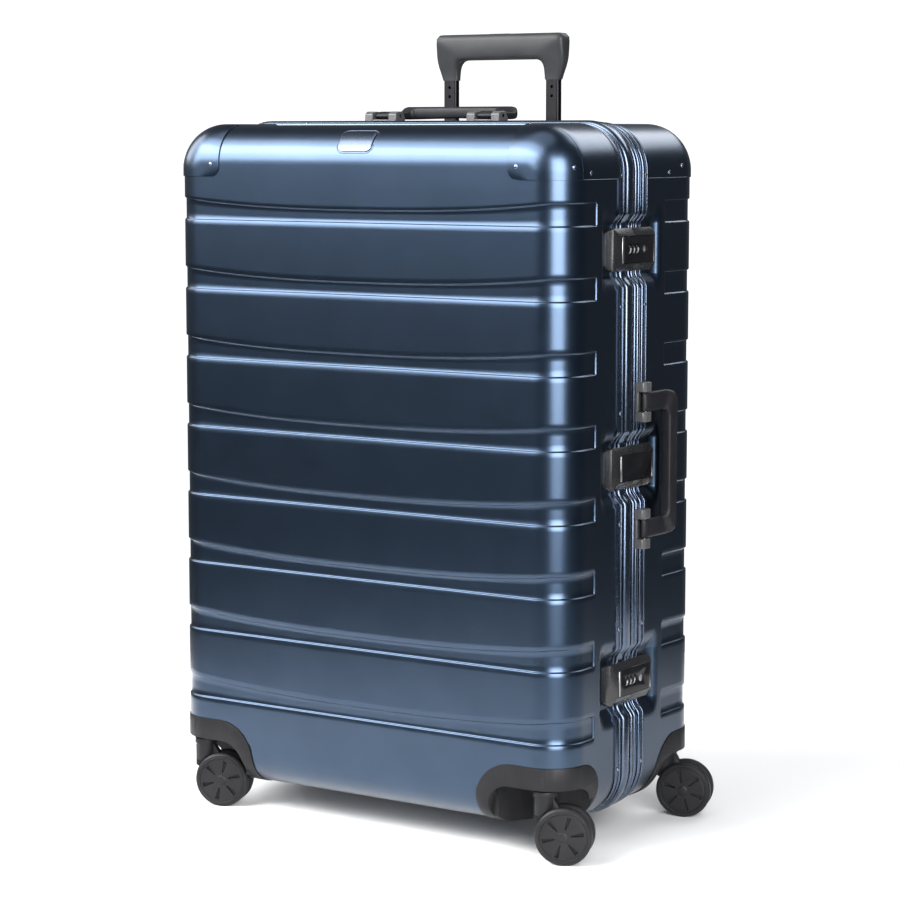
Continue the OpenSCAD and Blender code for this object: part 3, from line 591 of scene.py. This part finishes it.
def swept_ring(name, body, profile, node):
    """A closed profile of (height above the shell, y) swept round the case."""
    p, dip = frame_path()
    bm = bmesh.new()
    rings = []
    for (x, z, nx, nz), d in zip(p, dip):
        heights = [(o * MM - d, y * MM) for o, y in profile]
        rings.append([bm.verts.new((x + nx * up, y, z + nz * up)) for up, y in heights])
    close_rings(bm, rings)
    stand_for(new_object(name, bm, FRAME_NAVY, body, 40), node)


def bulge(y0, y1, base_h, top_h, steps=12):
    """Half-round ridge between two Y values."""
    c, r = (y0 + y1) / 2, (y1 - y0) / 2
    turns = [math.pi * i / steps for i in range(steps + 1)]
    return [(base_h + (top_h - base_h) * math.sin(a) ** 0.6, c - r * math.cos(a)) for a in turns]


def front_profile():
    """Lid ring in millimetres, from its front: bead, flange, bead, groove, wide ridge, rim, inner web."""
    y0, y1 = (corner.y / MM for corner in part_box("front_frame"))
    return ([(-0.5, y0)] + bulge(y0, y0 + 3, 0.4, 1.7, 6) + [(0.7, y0 + 3.4), (0.7, y0 + 7.6)]
            + bulge(y0 + 8, y0 + 10.6, 0.7, 2.3, 6) + [(-0.8, y0 + 11.2), (-0.8, y0 + 13)]
            + bulge(y0 + 13.4, y1 - 2.6, -0.5, 5, 16) + [(0.6, y1 - 2.2), (0.6, y1), (-3, y1)]
            + [(-3, y0 + 12), (-0.5, y0 + 12)])


def back_profile():
    """Base ring in millimetres, from its front: three ridges with grooves between, flange, bead, web."""
    y0, y1 = (corner.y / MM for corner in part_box("back_frame"))
    return ([(-3, y0)] + bulge(y0 + 0.2, y0 + 4.7, -0.4, 4.0, 10) + [(-0.6, y0 + 5), (-0.6, y0 + 7)]
            + bulge(y0 + 7.2, y0 + 11.7, -0.6, 3.6, 10) + [(-0.6, y0 + 12), (-0.6, y0 + 17.4)]
            + bulge(y0 + 17.7, y0 + 22.2, -0.4, 3.0, 10) + [(0.3, y0 + 22.6), (0.3, y1 - 2.6)]
            + bulge(y1 - 2.3, y1, 0.3, 2.0, 6) + [(-0.5, y1), (-0.5, y1 - 12), (-3, y1 - 12)])


swept_ring("front_frame_ring", "lid", front_profile(), "front_frame")
swept_ring("back_frame_ring", "base", back_profile(), "back_frame")


# ---------------------------------------- corner guards
GUARD_X = 191 * MM
GUARD_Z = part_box("front_corner_guards")[0].z
GUARD_ROUND = 12 * MM             # radius of a guard's inner lower corner
GUARD_T = 1.3 * MM                # how far a guard stands off the shell
GUARD_SHEET = 1.3 * GUARD_T       # its thickness: it bites into the shell a little
GUARD_SEAM = 114 * MM             # |Y| of the seam between a guard's two plates
SEAM_HALF = 0.5 * MM


def guard_grid(y_near, y_far):
    """Rows in Z, columns in X and lines in Y of one guard plate between two |Y| values."""
    steps = 8
    zs = [GUARD_Z + GUARD_ROUND * (1 - math.cos(math.radians(90 * i / steps))) for i in range(steps + 1)]
    spread(zs, GUARD_Z + GUARD_ROUND, BODY_Z1 - CORNER_R, 3 * MM)
    zs = sorted({round(z, 7) for z in zs + arc_lines(BODY_Z1, CORNER_R, 1, GUARD_ARC_STEPS)})
    share = [(e - GUARD_X) / (HALF_W - GUARD_X) for e in arc_lines(HALF_W, CORNER_R, 1, GUARD_ARC_STEPS)]
    share = [0.0] + [s for s in share if s > 0.02]
    ys = [y_near, y_far] + [v for v in arc_lines(HALF_D, EDGE_R, 1, GUARD_ARC_STEPS) if y_near < v < y_far]
    spread(ys, y_near, min(y_far, HALF_D - EDGE_R), 4 * MM)
    return zs, share, sorted({-round(y, 7) for y in ys})


def guard_plate(bm, sx, body, y_near, y_far):
    """Plate over one upper corner between two |Y| values: side, top, and the front where it gets there."""
    zs, share, ys = guard_grid(y_near, y_far)

    def left(z):
        """X of the inner edge at a height, round at its lower end."""
        dz = max(0.0, GUARD_Z + GUARD_ROUND - z)
        return GUARD_X + GUARD_ROUND - math.sqrt(max(0.0, GUARD_ROUND ** 2 - dz ** 2))

    side = [(sx * HALF_W, y, z) for z in zs for y in ys]
    top = [(sx * (GUARD_X + (HALF_W - GUARD_X) * s), y, BODY_Z1) for y in ys for s in share]
    parts = [(side, len(zs), len(ys)), (top, len(ys), len(share))]
    if y_far >= HALF_D:
        front = [(sx * (left(z) + (HALF_W - left(z)) * s), -HALF_D, z) for z in zs for s in share]
        parts.append((front, len(zs), len(share)))
    for pts, n, m in parts:
        add_patch(bm, to_body(on_case(np.array(pts), GUARD_T), body), n, m)


def corner_guards(name, body, y_in, node):
    """Two upper corners of one half, each in an inner and an outer plate with a seam between them."""
    plates = ((y_in, GUARD_SEAM - SEAM_HALF, "inner"), (GUARD_SEAM + SEAM_HALF, HALF_D, "outer"))
    for sx, side in ((-1, "left"), (1, "right")):
        for y_near, y_far, part in plates:
            bm = bmesh.new()
            guard_plate(bm, sx, body, y_near, y_far)
            join_patches(bm)
            ob = new_object(f"{name}_{side}_{part}", bm, NAVY, body)
            thicken(ob, GUARD_SHEET)
            soften(ob, 0.45 * MM, 2, 40)
            stand_for(ob, node)


corner_guards("front_guard", "lid", -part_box("front_corner_guards")[1].y, "front_corner_guards")
corner_guards("back_guard", "base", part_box("back_corner_guards")[0].y, "back_corner_guards")


# ---------------------------------------- badge
BADGE_LO, BADGE_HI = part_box("badge_plate")
BADGE_UP = 14 * MM                # how far the badge runs on past the sharp top edge


def on_front(u, v, grow):
    """Point on the rounded front at x = u and v above the badge's lower edge, run on over the top edge."""
    z = BADGE_LO.z + v
    over = max(0.0, z - BODY_Z1)
    return on_case(np.array([(u, -HALF_D + over, min(z, BODY_Z1))]), grow)[0]


def badge():
    """Raised name plate without lettering, with a bead round it."""
    x0, x1, h = BADGE_LO.x, BADGE_HI.x, BODY_Z1 - BADGE_LO.z + BADGE_UP
    rad = 7 * MM
    raised = 1 * MM
    bm = bmesh.new()
    rows, cols = 28, 16
    pts = []
    for i in range(rows + 1):
        v = h * i / rows
        d = max(rad - v, v - (h - rad), 0.0)
        inset = rad - math.sqrt(max(0.0, rad ** 2 - d ** 2))
        pts += [on_front(x0 + inset + (x1 - x0 - 2 * inset) * j / cols, v, raised) for j in range(cols + 1)]
    add_patch(bm, pts, rows + 1, cols + 1)
    join_patches(bm)
    plate = new_object("badge", bm, FRAME_NAVY, "lid")
    thicken(plate, 1.2 * MM)
    soften(plate, 0.4 * MM, 2, 40)
    bead_ob = new_object("badge_surround", bead_mesh(x0, x1, h, rad), FRAME_NAVY, "lid")
    for ob in (plate, bead_ob):
        stand_for(ob, "badge_plate")


def bead_mesh(x0, x1, h, rad):
    """Round bead that follows the badge's outline at a small distance."""
    gap, r = 1.7 * MM, 0.55 * MM
    sides = 8
    per_corner = 24
    centre = ((x0 + x1) / 2, h / 2)
    half = ((x1 - x0) / 2 + gap, h / 2 + gap)
    bead = bmesh.new()
    rings = []
    for i in range(4 * per_corner):
        corner, k = divmod(i, per_corner)
        a = math.radians(90 * corner + 90 * k / (per_corner - 1))
        sx, sy = QUADRANTS[corner]
        big = rad + gap
        u = centre[0] + sx * (half[0] - big) + big * math.cos(a)
        v = centre[1] + sy * (half[1] - big) + big * math.sin(a)
        low, high = Vector(on_front(u, v, 0)), Vector(on_front(u, v, MM))
        n = (high - low).normalized()
        out = Vector(on_front(u + math.cos(a) * MM, v + math.sin(a) * MM, 0)) - low
        side = (out - n * out.dot(n)).normalized()
        rings.append([bead.verts.new(low + (side * math.cos(t) + n * math.sin(t)) * r)
                      for t in (math.radians(360 / sides * q) for q in range(sides))])
    close_rings(bead, rings)
    return bead


badge()


# ---------------------------------------- rivets
def islands(node):
    """Points of each separate solid of a CAD node."""
    bm = bmesh.new()
    bm.from_mesh(frame["nodes"][node].data)
    bmesh.ops.remove_doubles(bm, verts=bm.verts, dist=1e-5)
    seen, groups = set(), []
    for v in bm.verts:
        if v.index in seen:
            continue
        stack, group = [v], []
        seen.add(v.index)
        while stack:
            w = stack.pop()
            group.append(w.co.copy())
            for e in w.link_edges:
                o = e.other_vert(w)
                if o.index not in seen:
                    seen.add(o.index)
                    stack.append(o)
        groups.append(np.array(group))
    bm.free()
    return groups


def dome(bm, centre, normal, r, h):
    """Rivet head: a low dome on a thin rim."""
    sides = 18
    profile = [(r, 0)] + [(r * math.cos(math.radians(a)), h * 0.25 + h * 0.75 * math.sin(math.radians(a)))
                          for a in (0, 15, 30, 45, 60, 75)]
    turn = Vector((0, 0, 1)).rotation_difference(Vector(normal)).to_matrix()
    rings = []
    for rr, hh in profile:
        rings.append([bm.verts.new(Vector(centre) + turn @ Vector((rr * math.cos(t), rr * math.sin(t), hh)))
                      for t in (math.radians(360 / sides * i) for i in range(sides))])
    for a, b in zip(rings, rings[1:]):
        for i in range(sides):
            bm.faces.new([a[i], a[(i + 1) % sides], b[(i + 1) % sides], b[i]])
    bm.faces.new(rings[-1])
    bm.faces.new(list(reversed(rings[0])))


def rivets(name, node, body):
    """Domed heads, each square to the surface that its CAD head stands on."""
    bm = bmesh.new()
    for pts in islands(node):
        centre = (pts.min(0) + pts.max(0)) / 2
        normal = np.linalg.eigh(np.cov((pts - centre).T))[1][:, 0]
        out = (centre - (0, 0, MID_Z)) / (HALF_W, HALF_D, HALF_H)
        normal = normal if normal.dot(out) > 0 else -normal
        along = (pts - centre).dot(normal)
        radius = np.linalg.norm(pts - centre - np.outer(along, normal), axis=1).max()
        dome(bm, centre + normal * along.min(), normal, radius, (along.max() - along.min()) * 1.3)
    stand_for(new_object(name, bm, RIVET_BLUE, body, 50), node)


rivets("lid_rivets", "front_rivets", "lid")
rivets("base_rivets", "back_rivets", "base")


# ---------------------------------------- handles
def rounded_path(corners, r, count):
    """Evenly spaced points along a polyline in X and Z whose inner corners are rounded."""
    pts = [Vector(corners[0])]
    for a, b, c in zip(corners, corners[1:], corners[2:]):
        a, b, c = Vector(a), Vector(b), Vector(c)
        p, q = b + (a - b).normalized() * r, b + (c - b).normalized() * r
        pts += [p.lerp(b, t).lerp(b.lerp(q, t), t) for t in (i / 12 for i in range(13))]
    pts.append(Vector(corners[-1]))
    run = [0.0]
    for a, b in zip(pts, pts[1:]):
        run.append(run[-1] + (b - a).length)
    out = []
    for i in range(count):
        d = run[-1] * i / (count - 1)
        k = max(j for j in range(len(run) - 1) if run[j] <= d + 1e-12)
        seg = run[k + 1] - run[k]
        out.append(pts[k].lerp(pts[k + 1], (d - run[k]) / seg if seg else 0))
    return out


def sweep_between(name, inner, outer, thick, place, material, body, node):
    """Handle from one end round to the other: sections between an inner and an outer curve, mirrored.

    thick has the lowest and highest point of each section across the curves' plane.
    """
    half = list(zip(inner, outer, thick))
    stations = [(Vector((-a.x, a.y)), Vector((-b.x, b.y)), t) for a, b, t in half[:-1]] + half[::-1]
    bm = bmesh.new()
    rings = []
    count = 28
    for a, b, (low, high) in stations:
        c, u = (a + b) / 2, (b - a) / 2
        ring = []
        for q in range(count):
            t = 2 * math.pi * q / count
            cs, sn = math.cos(t), math.sin(t)
            cx, cy = math.copysign(abs(cs) ** 0.5, cs), math.copysign(abs(sn) ** 0.5, sn)
            across = (low + high) / 2 + (high - low) / 2 * cy
            ring.append(bm.verts.new(place(c.x + u.x * cx, c.y + u.y * cx, across)))
        rings.append(ring)
    for r0, r1 in zip(rings, rings[1:]):
        for q in range(count):
            bm.faces.new([r0[q], r0[(q + 1) % count], r1[(q + 1) % count], r1[q]])
    bm.faces.new(rings[0])
    bm.faces.new(list(reversed(rings[-1])))
    bmesh.ops.recalc_face_normals(bm, faces=bm.faces)
    stand_for(new_object(name, bm, material, body, 50), node)


def pull_grip():
    """Grip with necks that run smoothly into the tubes."""
    lo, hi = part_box("pull_grip")
    t_lo, t_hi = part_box("inner_tubes")
    mid_x, mid_y = (lo.x + hi.x) / 2, (lo.y + hi.y) / 2
    half, top, end = (hi.x - lo.x) / 2, hi.z, lo.z
    out_x = (t_hi.x - t_lo.x) / 2 - 1.2 * MM
    neck = 17.8 * MM
    in_x = out_x - neck
    deep = 30 * MM
    under = top - deep
    inner_r, outer_r = 11 * MM, 8 * MM
    n = 26
    inner = rounded_path([(in_x - 0.4 * MM, end), (in_x - 1.2 * MM, under), (0, under)], inner_r, n)
    flare = (out_x + 2.4 * MM, end)
    outer = rounded_path([flare, (half, under - 2 * MM), (half, top), (0, top)], outer_r, n)
    slim, full = (t_hi.y - t_lo.y) / 2 + 0.5 * MM, (hi.y - lo.y) / 2
    thick = [(-d, d) for d in (slim + (full - slim) * smooth(i / (n * 0.4)) for i in range(n))]

    def place(a, b, c):
        """Point in the frame, from distances along X, Z and Y."""
        return mid_x + a, mid_y + c, b

    sweep_between("grip", inner, outer, thick, place, GRIP_BLACK, "inner_stage", "pull_grip")


def carry_handle(name, node, pins, body, place):
    """Folding handle: flat arms that step up to a fuller grip.

    place takes distances along the pins, out along the arms, and off the shell.
    """
    axis = 0 if name == "top" else 2
    lo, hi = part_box(node)
    span_half = (hi[axis] - lo[axis]) / 2
    arm = 21 * MM
    reach = hi.y - sum(p.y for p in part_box(pins)) / 2
    grip = 18 * MM
    heel = -5.6 * MM                  # how far an arm runs on behind its pin
    inner_r, outer_r = 7 * MM, 15 * MM
    n = 40
    in_x, in_y = span_half - arm, reach - grip
    inner = rounded_path([(in_x, heel), (in_x, in_y), (0, in_y)], inner_r, n)
    outer = rounded_path([(span_half, heel), (span_half, reach), (0, reach)], outer_r, n)
    thick = []
    for i in range(n):
        f = i / (n - 1)                   # 0 at the end of an arm, 1 in the middle of the grip
        end = smooth(f / 0.06 + 0.25)     # the arm's thin end
        step = smooth((f - 0.36) / 0.07)  # the step up to the grip
        thick.append((-4.5 * MM * end + (2.2 * f - 0.5 * step) * MM * end, (5 * end + 5.5 * step) * MM))
    sweep_between(f"{name}_carry_handle", inner, outer, thick, place, HANDLE_BLACK, body, node)


def brackets(name, node, pins, place):
    """Two cradles: a pair of chamfered cheeks with a low lip and a floor between them."""
    lo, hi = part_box(pins)
    axis = 0 if name == "top" else 2
    arm_half, cheek_end = 10.8, 21.5  # half a cradle's inner and outer width
    centre = (hi[axis] - lo[axis]) / 2 / MM - cheek_end
    bm = bmesh.new()

    def prism(a0, a1, outline):
        """Block between two places along the pins, all in millimetres."""
        one = [bm.verts.new(place(a0 * MM, y * MM, x * MM)) for y, x in outline]
        two = [bm.verts.new(place(a1 * MM, y * MM, x * MM)) for y, x in outline]
        bm.faces.new(one)
        bm.faces.new(list(reversed(two)))
        for i in range(len(outline)):
            j = (i + 1) % len(outline)
            bm.faces.new([one[i], one[j], two[j], two[i]])

    cheek = ((-9, -9), (10, -9), (10, -2), (5, 5), (-5, 5), (-9, 2))
    lip = ((-9, -9), (-6.6, -9), (-6.6, -4), (-9, -4))
    sole = ((-6.6, -9), (10, -9), (10, -7.2), (-6.6, -7.2))
    for c in (-centre, centre):
        prism(c - cheek_end, c - arm_half, cheek)
        prism(c + arm_half, c + cheek_end, cheek)
        prism(c - arm_half, c + arm_half, lip)
        prism(c - arm_half, c + arm_half, sole)
    bmesh.ops.recalc_face_normals(bm, faces=bm.faces)
    ob = new_object(f"{name}_carry_brackets", bm, BRACKET_GREY, "base", 30)
    soften(ob, 0.9 * MM, 3, 30)
    stand_for(ob, node)


pull_grip()
SIDE_PIVOT = sum(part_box("side_handle_pins"), Vector()) / 2
TOP_PIVOT = sum(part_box("top_handle_pins"), Vector()) / 2
for name, body, place in (
    ("side", "side_grip", lambda a, b, c: (SIDE_PIVOT.x + c, SIDE_PIVOT.y + b, SIDE_PIVOT.z + a)),
    ("top", "top_grip", lambda a, b, c: (TOP_PIVOT.x + a, TOP_PIVOT.y + b, TOP_PIVOT.z + c)),
):
    carry_handle(name, f"{name}_handle", f"{name}_handle_pins", body, place)
    brackets(name, f"{name}_handle_brackets", f"{name}_handle_pins", place)


# ---------------------------------------- linings
LINING_IN = 13.5 * MM             # how far inside the shell the cloth lies
CLOTH = 1.0 * MM                  # its thickness
WELL_COVER = HOUSING_TOP - 4 * MM  # height of the cloth over a wheel well


def lining(name, body, node, side_y):
    """Cloth tray of one half, taken over the wheel wells and the cup, with a glued lining's slack."""
    lo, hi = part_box(node)
    y_open = abs(lo.y) if body == "base" else abs(hi.y)
    ends = arc_lines(HALF_W, CORNER_R, 1, LINING_ARC_STEPS)
    xs = [-v for v in reversed(ends)]
    spread(xs, -(HALF_W - CORNER_R), HALF_W - CORNER_R, 6 * MM)
    xs = np.array(xs + ends)
    ys = [-y_open]
    spread(ys, -y_open, -(HALF_D - EDGE_R), 5 * MM)
    ys += [-v for v in arc_lines(HALF_D, EDGE_R, 1, LINING_ARC_STEPS)]
    zs = list(reversed(arc_lines(BODY_Z0, CORNER_R, -1, LINING_ARC_STEPS)))
    spread(zs, BODY_Z0 + CORNER_R, BODY_Z1 - CORNER_R, 7 * MM)
    zs = np.array(zs + arc_lines(BODY_Z1, CORNER_R, 1, LINING_ARC_STEPS))
    rows = np.repeat(zs[:, None], len(xs), 1)
    low = BODY_Z0 + LINING_IN
    bm = bmesh.new()
    for p, n, m in half_patches(xs, ys, rows, zs):
        x, y, z = p.T
        wave = 1.3 * np.sin(z / (41 * MM))
        slack = 0.7 * MM * np.sin(x / (17 * MM) + wave) * np.sin(z / (23 * MM) + y / (19 * MM))
        out = on_case(p, -LINING_IN, slack)
        in_x = smooth((np.abs(out[:, 0]) - HOUSING_X - 4 * MM) / (11 * MM))
        in_y = smooth((np.abs(out[:, 1]) - side_y + 12 * MM) / (9 * MM))
        out[:, 2] = np.maximum(out[:, 2], low + (WELL_COVER - low) * (in_x * in_y))
        if body == "base":
            from_middle = np.abs(out[:, 0] - (BEZEL_LO.x + BEZEL_HI.x) / 2)
            in_z = smooth((out[:, 2] - BEZEL_LO.z + 12 * MM) / (8 * MM))
            near = in_z * smooth((BEZEL_HI.x + 8 * MM - from_middle) / (8 * MM))
            reach = -HALF_D + (HALF_D - BEZEL_LO.y + 3 * MM) * near
            out[:, 1] = np.maximum(out[:, 1], np.where(near > 0, reach, out[:, 1]))
            back = min(-out[:, 1].min(), hi.y)
            out[:, 1] = np.maximum(out[:, 1], -back)
        add_patch(bm, to_body(out, body), n, m)
    join_patches(bm, 1e-5)
    area = sum(f.calc_area() for f in bm.faces)
    ob = new_object(name, bm, LINING, body)
    thicken(ob, CLOTH, 1)
    stand_for(ob, node)


lining("lid_lining", "lid", "front_lining", LID_SIDE[0])
lining("base_lining", "base", "back_lining", BASE_SIDE[0])


# ---------------------------------------- wheels
def spun(bm, profile, steps, place):
    """A closed profile of (radius, height) turned round the place's Z axis."""
    rings = [[bm.verts.new(place @ Vector((r * math.cos(t), r * math.sin(t), h))) for r, h in profile]
             for t in (2 * math.pi * i / steps for i in range(steps))]
    close_rings(bm, rings)


CAP_PROFILE = ((0.02, 0.9), (3.5, 0.8), (5.4, 0.3), (6, -0.3), (0.02, -0.3))   # radius, height in mm


def wheel_trim(corner):
    """Hub cap and raised ring on both outer faces of a pair of wheels."""
    joints = frame["record"]["behaviour"]["joints"]
    joint = next(j for j in joints if j["name"] == f"{corner}_wheel_spin")
    centre, axle = Vector(joint["pos_m"]), Vector(joint["axis"]).normalized()
    tyre_r = 31 * MM
    face = 16 * MM                    # from the middle of the pair to an outer face
    ring_r = 0.9 * MM
    bm = bmesh.new()
    for s in (-1, 1):
        place = Matrix.Translation(centre) @ (axle * s).to_track_quat("Z", "Y").to_matrix().to_4x4()
        ring = [(0.84 * tyre_r + ring_r * math.cos(t), face - 0.6 * MM + ring_r * math.sin(t))
                for t in (2 * math.pi * i / 10 for i in range(10))]
        spun(bm, ring, 72, place)
        spun(bm, [(a * MM, face + b * MM) for a, b in CAP_PROFILE], 40, place)
    ob = new_object(f"{corner}_wheel_trim", bm, DISC_BLACK, f"{corner}_wheel", 40)


for corner in CASTERS:
    wheel_trim(corner)


# ---------------------------------------- lock details
def digit_mesh(text, size):
    """Flat mesh of one character, centred on the origin."""
    curve = bpy.data.curves.new("digit", "FONT")
    curve.body = text
    curve.size = size
    curve.align_x = "CENTER"
    curve.align_y = "CENTER"
    curve.resolution_u = 3
    holder = bpy.data.objects.new("digit", curve)
    bpy.context.scene.collection.objects.link(holder)
    mesh = bpy.data.meshes.new_from_object(holder.evaluated_get(bpy.context.evaluated_depsgraph_get()))
    bpy.data.objects.remove(holder)
    bpy.data.curves.remove(curve)
    return mesh


DIGIT_SIZE = 4.4 * MM
INK = 0.08 * MM                   # thickness of the digits
INK_TOP = 0.06 * MM               # how far they stand off the drum


def dial_digits(node):
    """Ten white numbers round a dial, laid on its drum between the finger notches."""
    lo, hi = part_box(node)
    c = (lo + hi) / 2
    r = (hi.x - lo.x) / 2 + INK_TOP
    bm = bmesh.new()
    for k in range(10):
        mesh = digit_mesh(str(k), DIGIT_SIZE)
        part = bmesh.new()
        part.from_mesh(mesh)
        bpy.data.meshes.remove(mesh)
        base = math.radians(36 * k)
        moved = {}
        for v in part.verts:
            a = base + v.co.y / r
            moved[v] = bm.verts.new((c.x + r * math.cos(a), c.y + v.co.x, c.z + r * math.sin(a)))
        for f in part.faces:
            bm.faces.new([moved[v] for v in f.verts])
        part.free()
    ob = new_object(f"{node}_numbers", bm, PRINT_WHITE, f"{node}_body")
    thicken(ob, INK)


def flap_lip(lock):
    """Satin grey finger lip along the front edge of a latch flap; its light tone is partly a painted
    highlight for the bright reflection on the flap's front bevel.
    """
    lo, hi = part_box(f"{lock}_flap")
    z0, z1 = lo.z + 2 * MM, hi.z - 2 * MM
    y0, y1 = lo.y + 0.4 * MM, lo.y + 4.2 * MM
    foot, height, end = hi.x - 0.3 * MM, 1.1 * MM, 0.6 * MM
    steps = 10
    bm = bmesh.new()
    rings = []
    for z, s in ((z0, 0.2), (z0 + end, 1), (z1 - end, 1), (z1, 0.2)):
        mid, half = (y0 + y1) / 2, (y1 - y0) / 2 * (0.8 + 0.2 * s)
        rings.append([bm.verts.new((foot + height * s * math.sin(t), mid - half * math.cos(t), z))
                      for t in (math.radians(180 * i / steps) for i in range(steps + 1))])
    for a, b in zip(rings, rings[1:]):
        for q in range(steps):
            bm.faces.new([a[q], a[q + 1], b[q + 1], b[q]])
        bm.faces.new([a[steps], a[0], b[0], b[steps]])
    bm.faces.new(list(reversed(rings[0])))
    bm.faces.new(rings[-1])
    bmesh.ops.recalc_face_normals(bm, faces=bm.faces)
    # The light grey lip is partly a painted highlight of the bevel's bright reflection
    ob = new_object(f"{lock}_flap_lip", bm, LIP_GREY_AND_HIGHLIGHT, f"{lock}_latch", 50)


for lock in ("upper", "centre", "lower"):
    flap_lip(lock)
for lock in ("upper", "lower"):
    for i in (1, 2, 3):
        dial_digits(f"{lock}_dial_{i}")


# ---------------------------------------- floor, light, camera
FLOOR_R = 1.0
LIGHT_AIM = Vector((0, 0, 0.42))


def floor():
    """Pale round floor; the backdrop goes on from its rim."""
    bm = bmesh.new()
    bmesh.ops.create_circle(bm, cap_ends=True, radius=FLOOR_R, segments=96)
    mesh = bpy.data.meshes.new("floor")
    bm.to_mesh(mesh)
    bm.free()
    ob = bpy.data.objects.new("floor", mesh)
    bpy.context.scene.collection.objects.link(ob)
    mat, nt, bsdf = node_material("floor_white")
    tones = [(0.3, (0.74, 0.74, 0.74)), (0.7, (0.76, 0.76, 0.76))]
    nt.links.new(ramp(nt, noise(nt, 3, 2), tones), bsdf.inputs["Base Color"])
    bsdf.inputs["Roughness"].default_value = 0.85
    mesh.materials.append(mat)


def area_light(name, azimuth, elevation, distance, size, power):
    """Softbox at an azimuth from -Y towards +X and an elevation, aimed at the case."""
    a, e = math.radians(azimuth), math.radians(elevation)
    d = Vector((math.sin(a) * math.cos(e), -math.cos(a) * math.cos(e), math.sin(e)))
    data = bpy.data.lights.new(name, "AREA")
    data.shape = "RECTANGLE"
    data.size, data.size_y = size
    data.energy = power
    ob = bpy.data.objects.new(name, data)
    ob.location = LIGHT_AIM + d * distance
    ob.rotation_euler = d.to_track_quat("Z", "Y").to_euler()
    bpy.context.scene.collection.objects.link(ob)


floor()
area_light("tall_softbox", 49, 15, 3.7, (2.2, 2.5), 270)
area_light("top_box", -30, 44, 3.2, (3.2, 1.6), 115)
area_light("brow", -34, 30, 2.1, (2.0, 1.1), 85)
area_light("left_wall", -85, 28, 3.6, (1.6, 2.0), 50)
area_light("back_fill", 165, 45, 3.6, (2.4, 2.0), 60)
sun_data = bpy.data.lights.new("overhead", "SUN")
sun_data.energy = 0.8
sun_data.angle = math.radians(50)
sun = bpy.data.objects.new("overhead", sun_data)
sun.rotation_euler = (math.radians(14), math.radians(-10), 0)
bpy.context.scene.collection.objects.link(sun)

# The camera sees a plain white backdrop; what the case reflects is a darker room
world = bpy.data.worlds.new("studio")
bpy.context.scene.world = world
world.use_nodes = True
wt = world.node_tree
room = wt.nodes["Background"]
room.inputs["Color"].default_value = (0.80, 0.88, 1.0, 1)
room.inputs["Strength"].default_value = 0.11
backdrop = wt.nodes.new("ShaderNodeBackground")
backdrop.inputs["Color"].default_value = (1, 1, 1, 1)
backdrop.inputs["Strength"].default_value = 1.1
seen = wt.nodes.new("ShaderNodeLightPath")
mix = wt.nodes.new("ShaderNodeMixShader")
wt.links.new(seen.outputs["Is Camera Ray"], mix.inputs[0])
wt.links.new(room.outputs[0], mix.inputs[1])
wt.links.new(backdrop.outputs[0], mix.inputs[2])
wt.links.new(mix.outputs[0], wt.nodes["World Output"].inputs["Surface"])

# Place, turn and lens from the camera fitted to the photograph
cam_data = bpy.data.cameras.new("camera")
cam_data.lens = 107.5
cam_data.sensor_width = 36
cam = bpy.data.objects.new("camera", cam_data)
cam.location = (1.699, -2.509, 0.772)
cam.rotation_euler = (math.radians(90 - 6.74), 0, math.radians(33.77))
bpy.context.scene.collection.objects.link(cam)
bpy.context.scene.camera = cam
bpy.context.scene.view_settings.view_transform = "Standard"
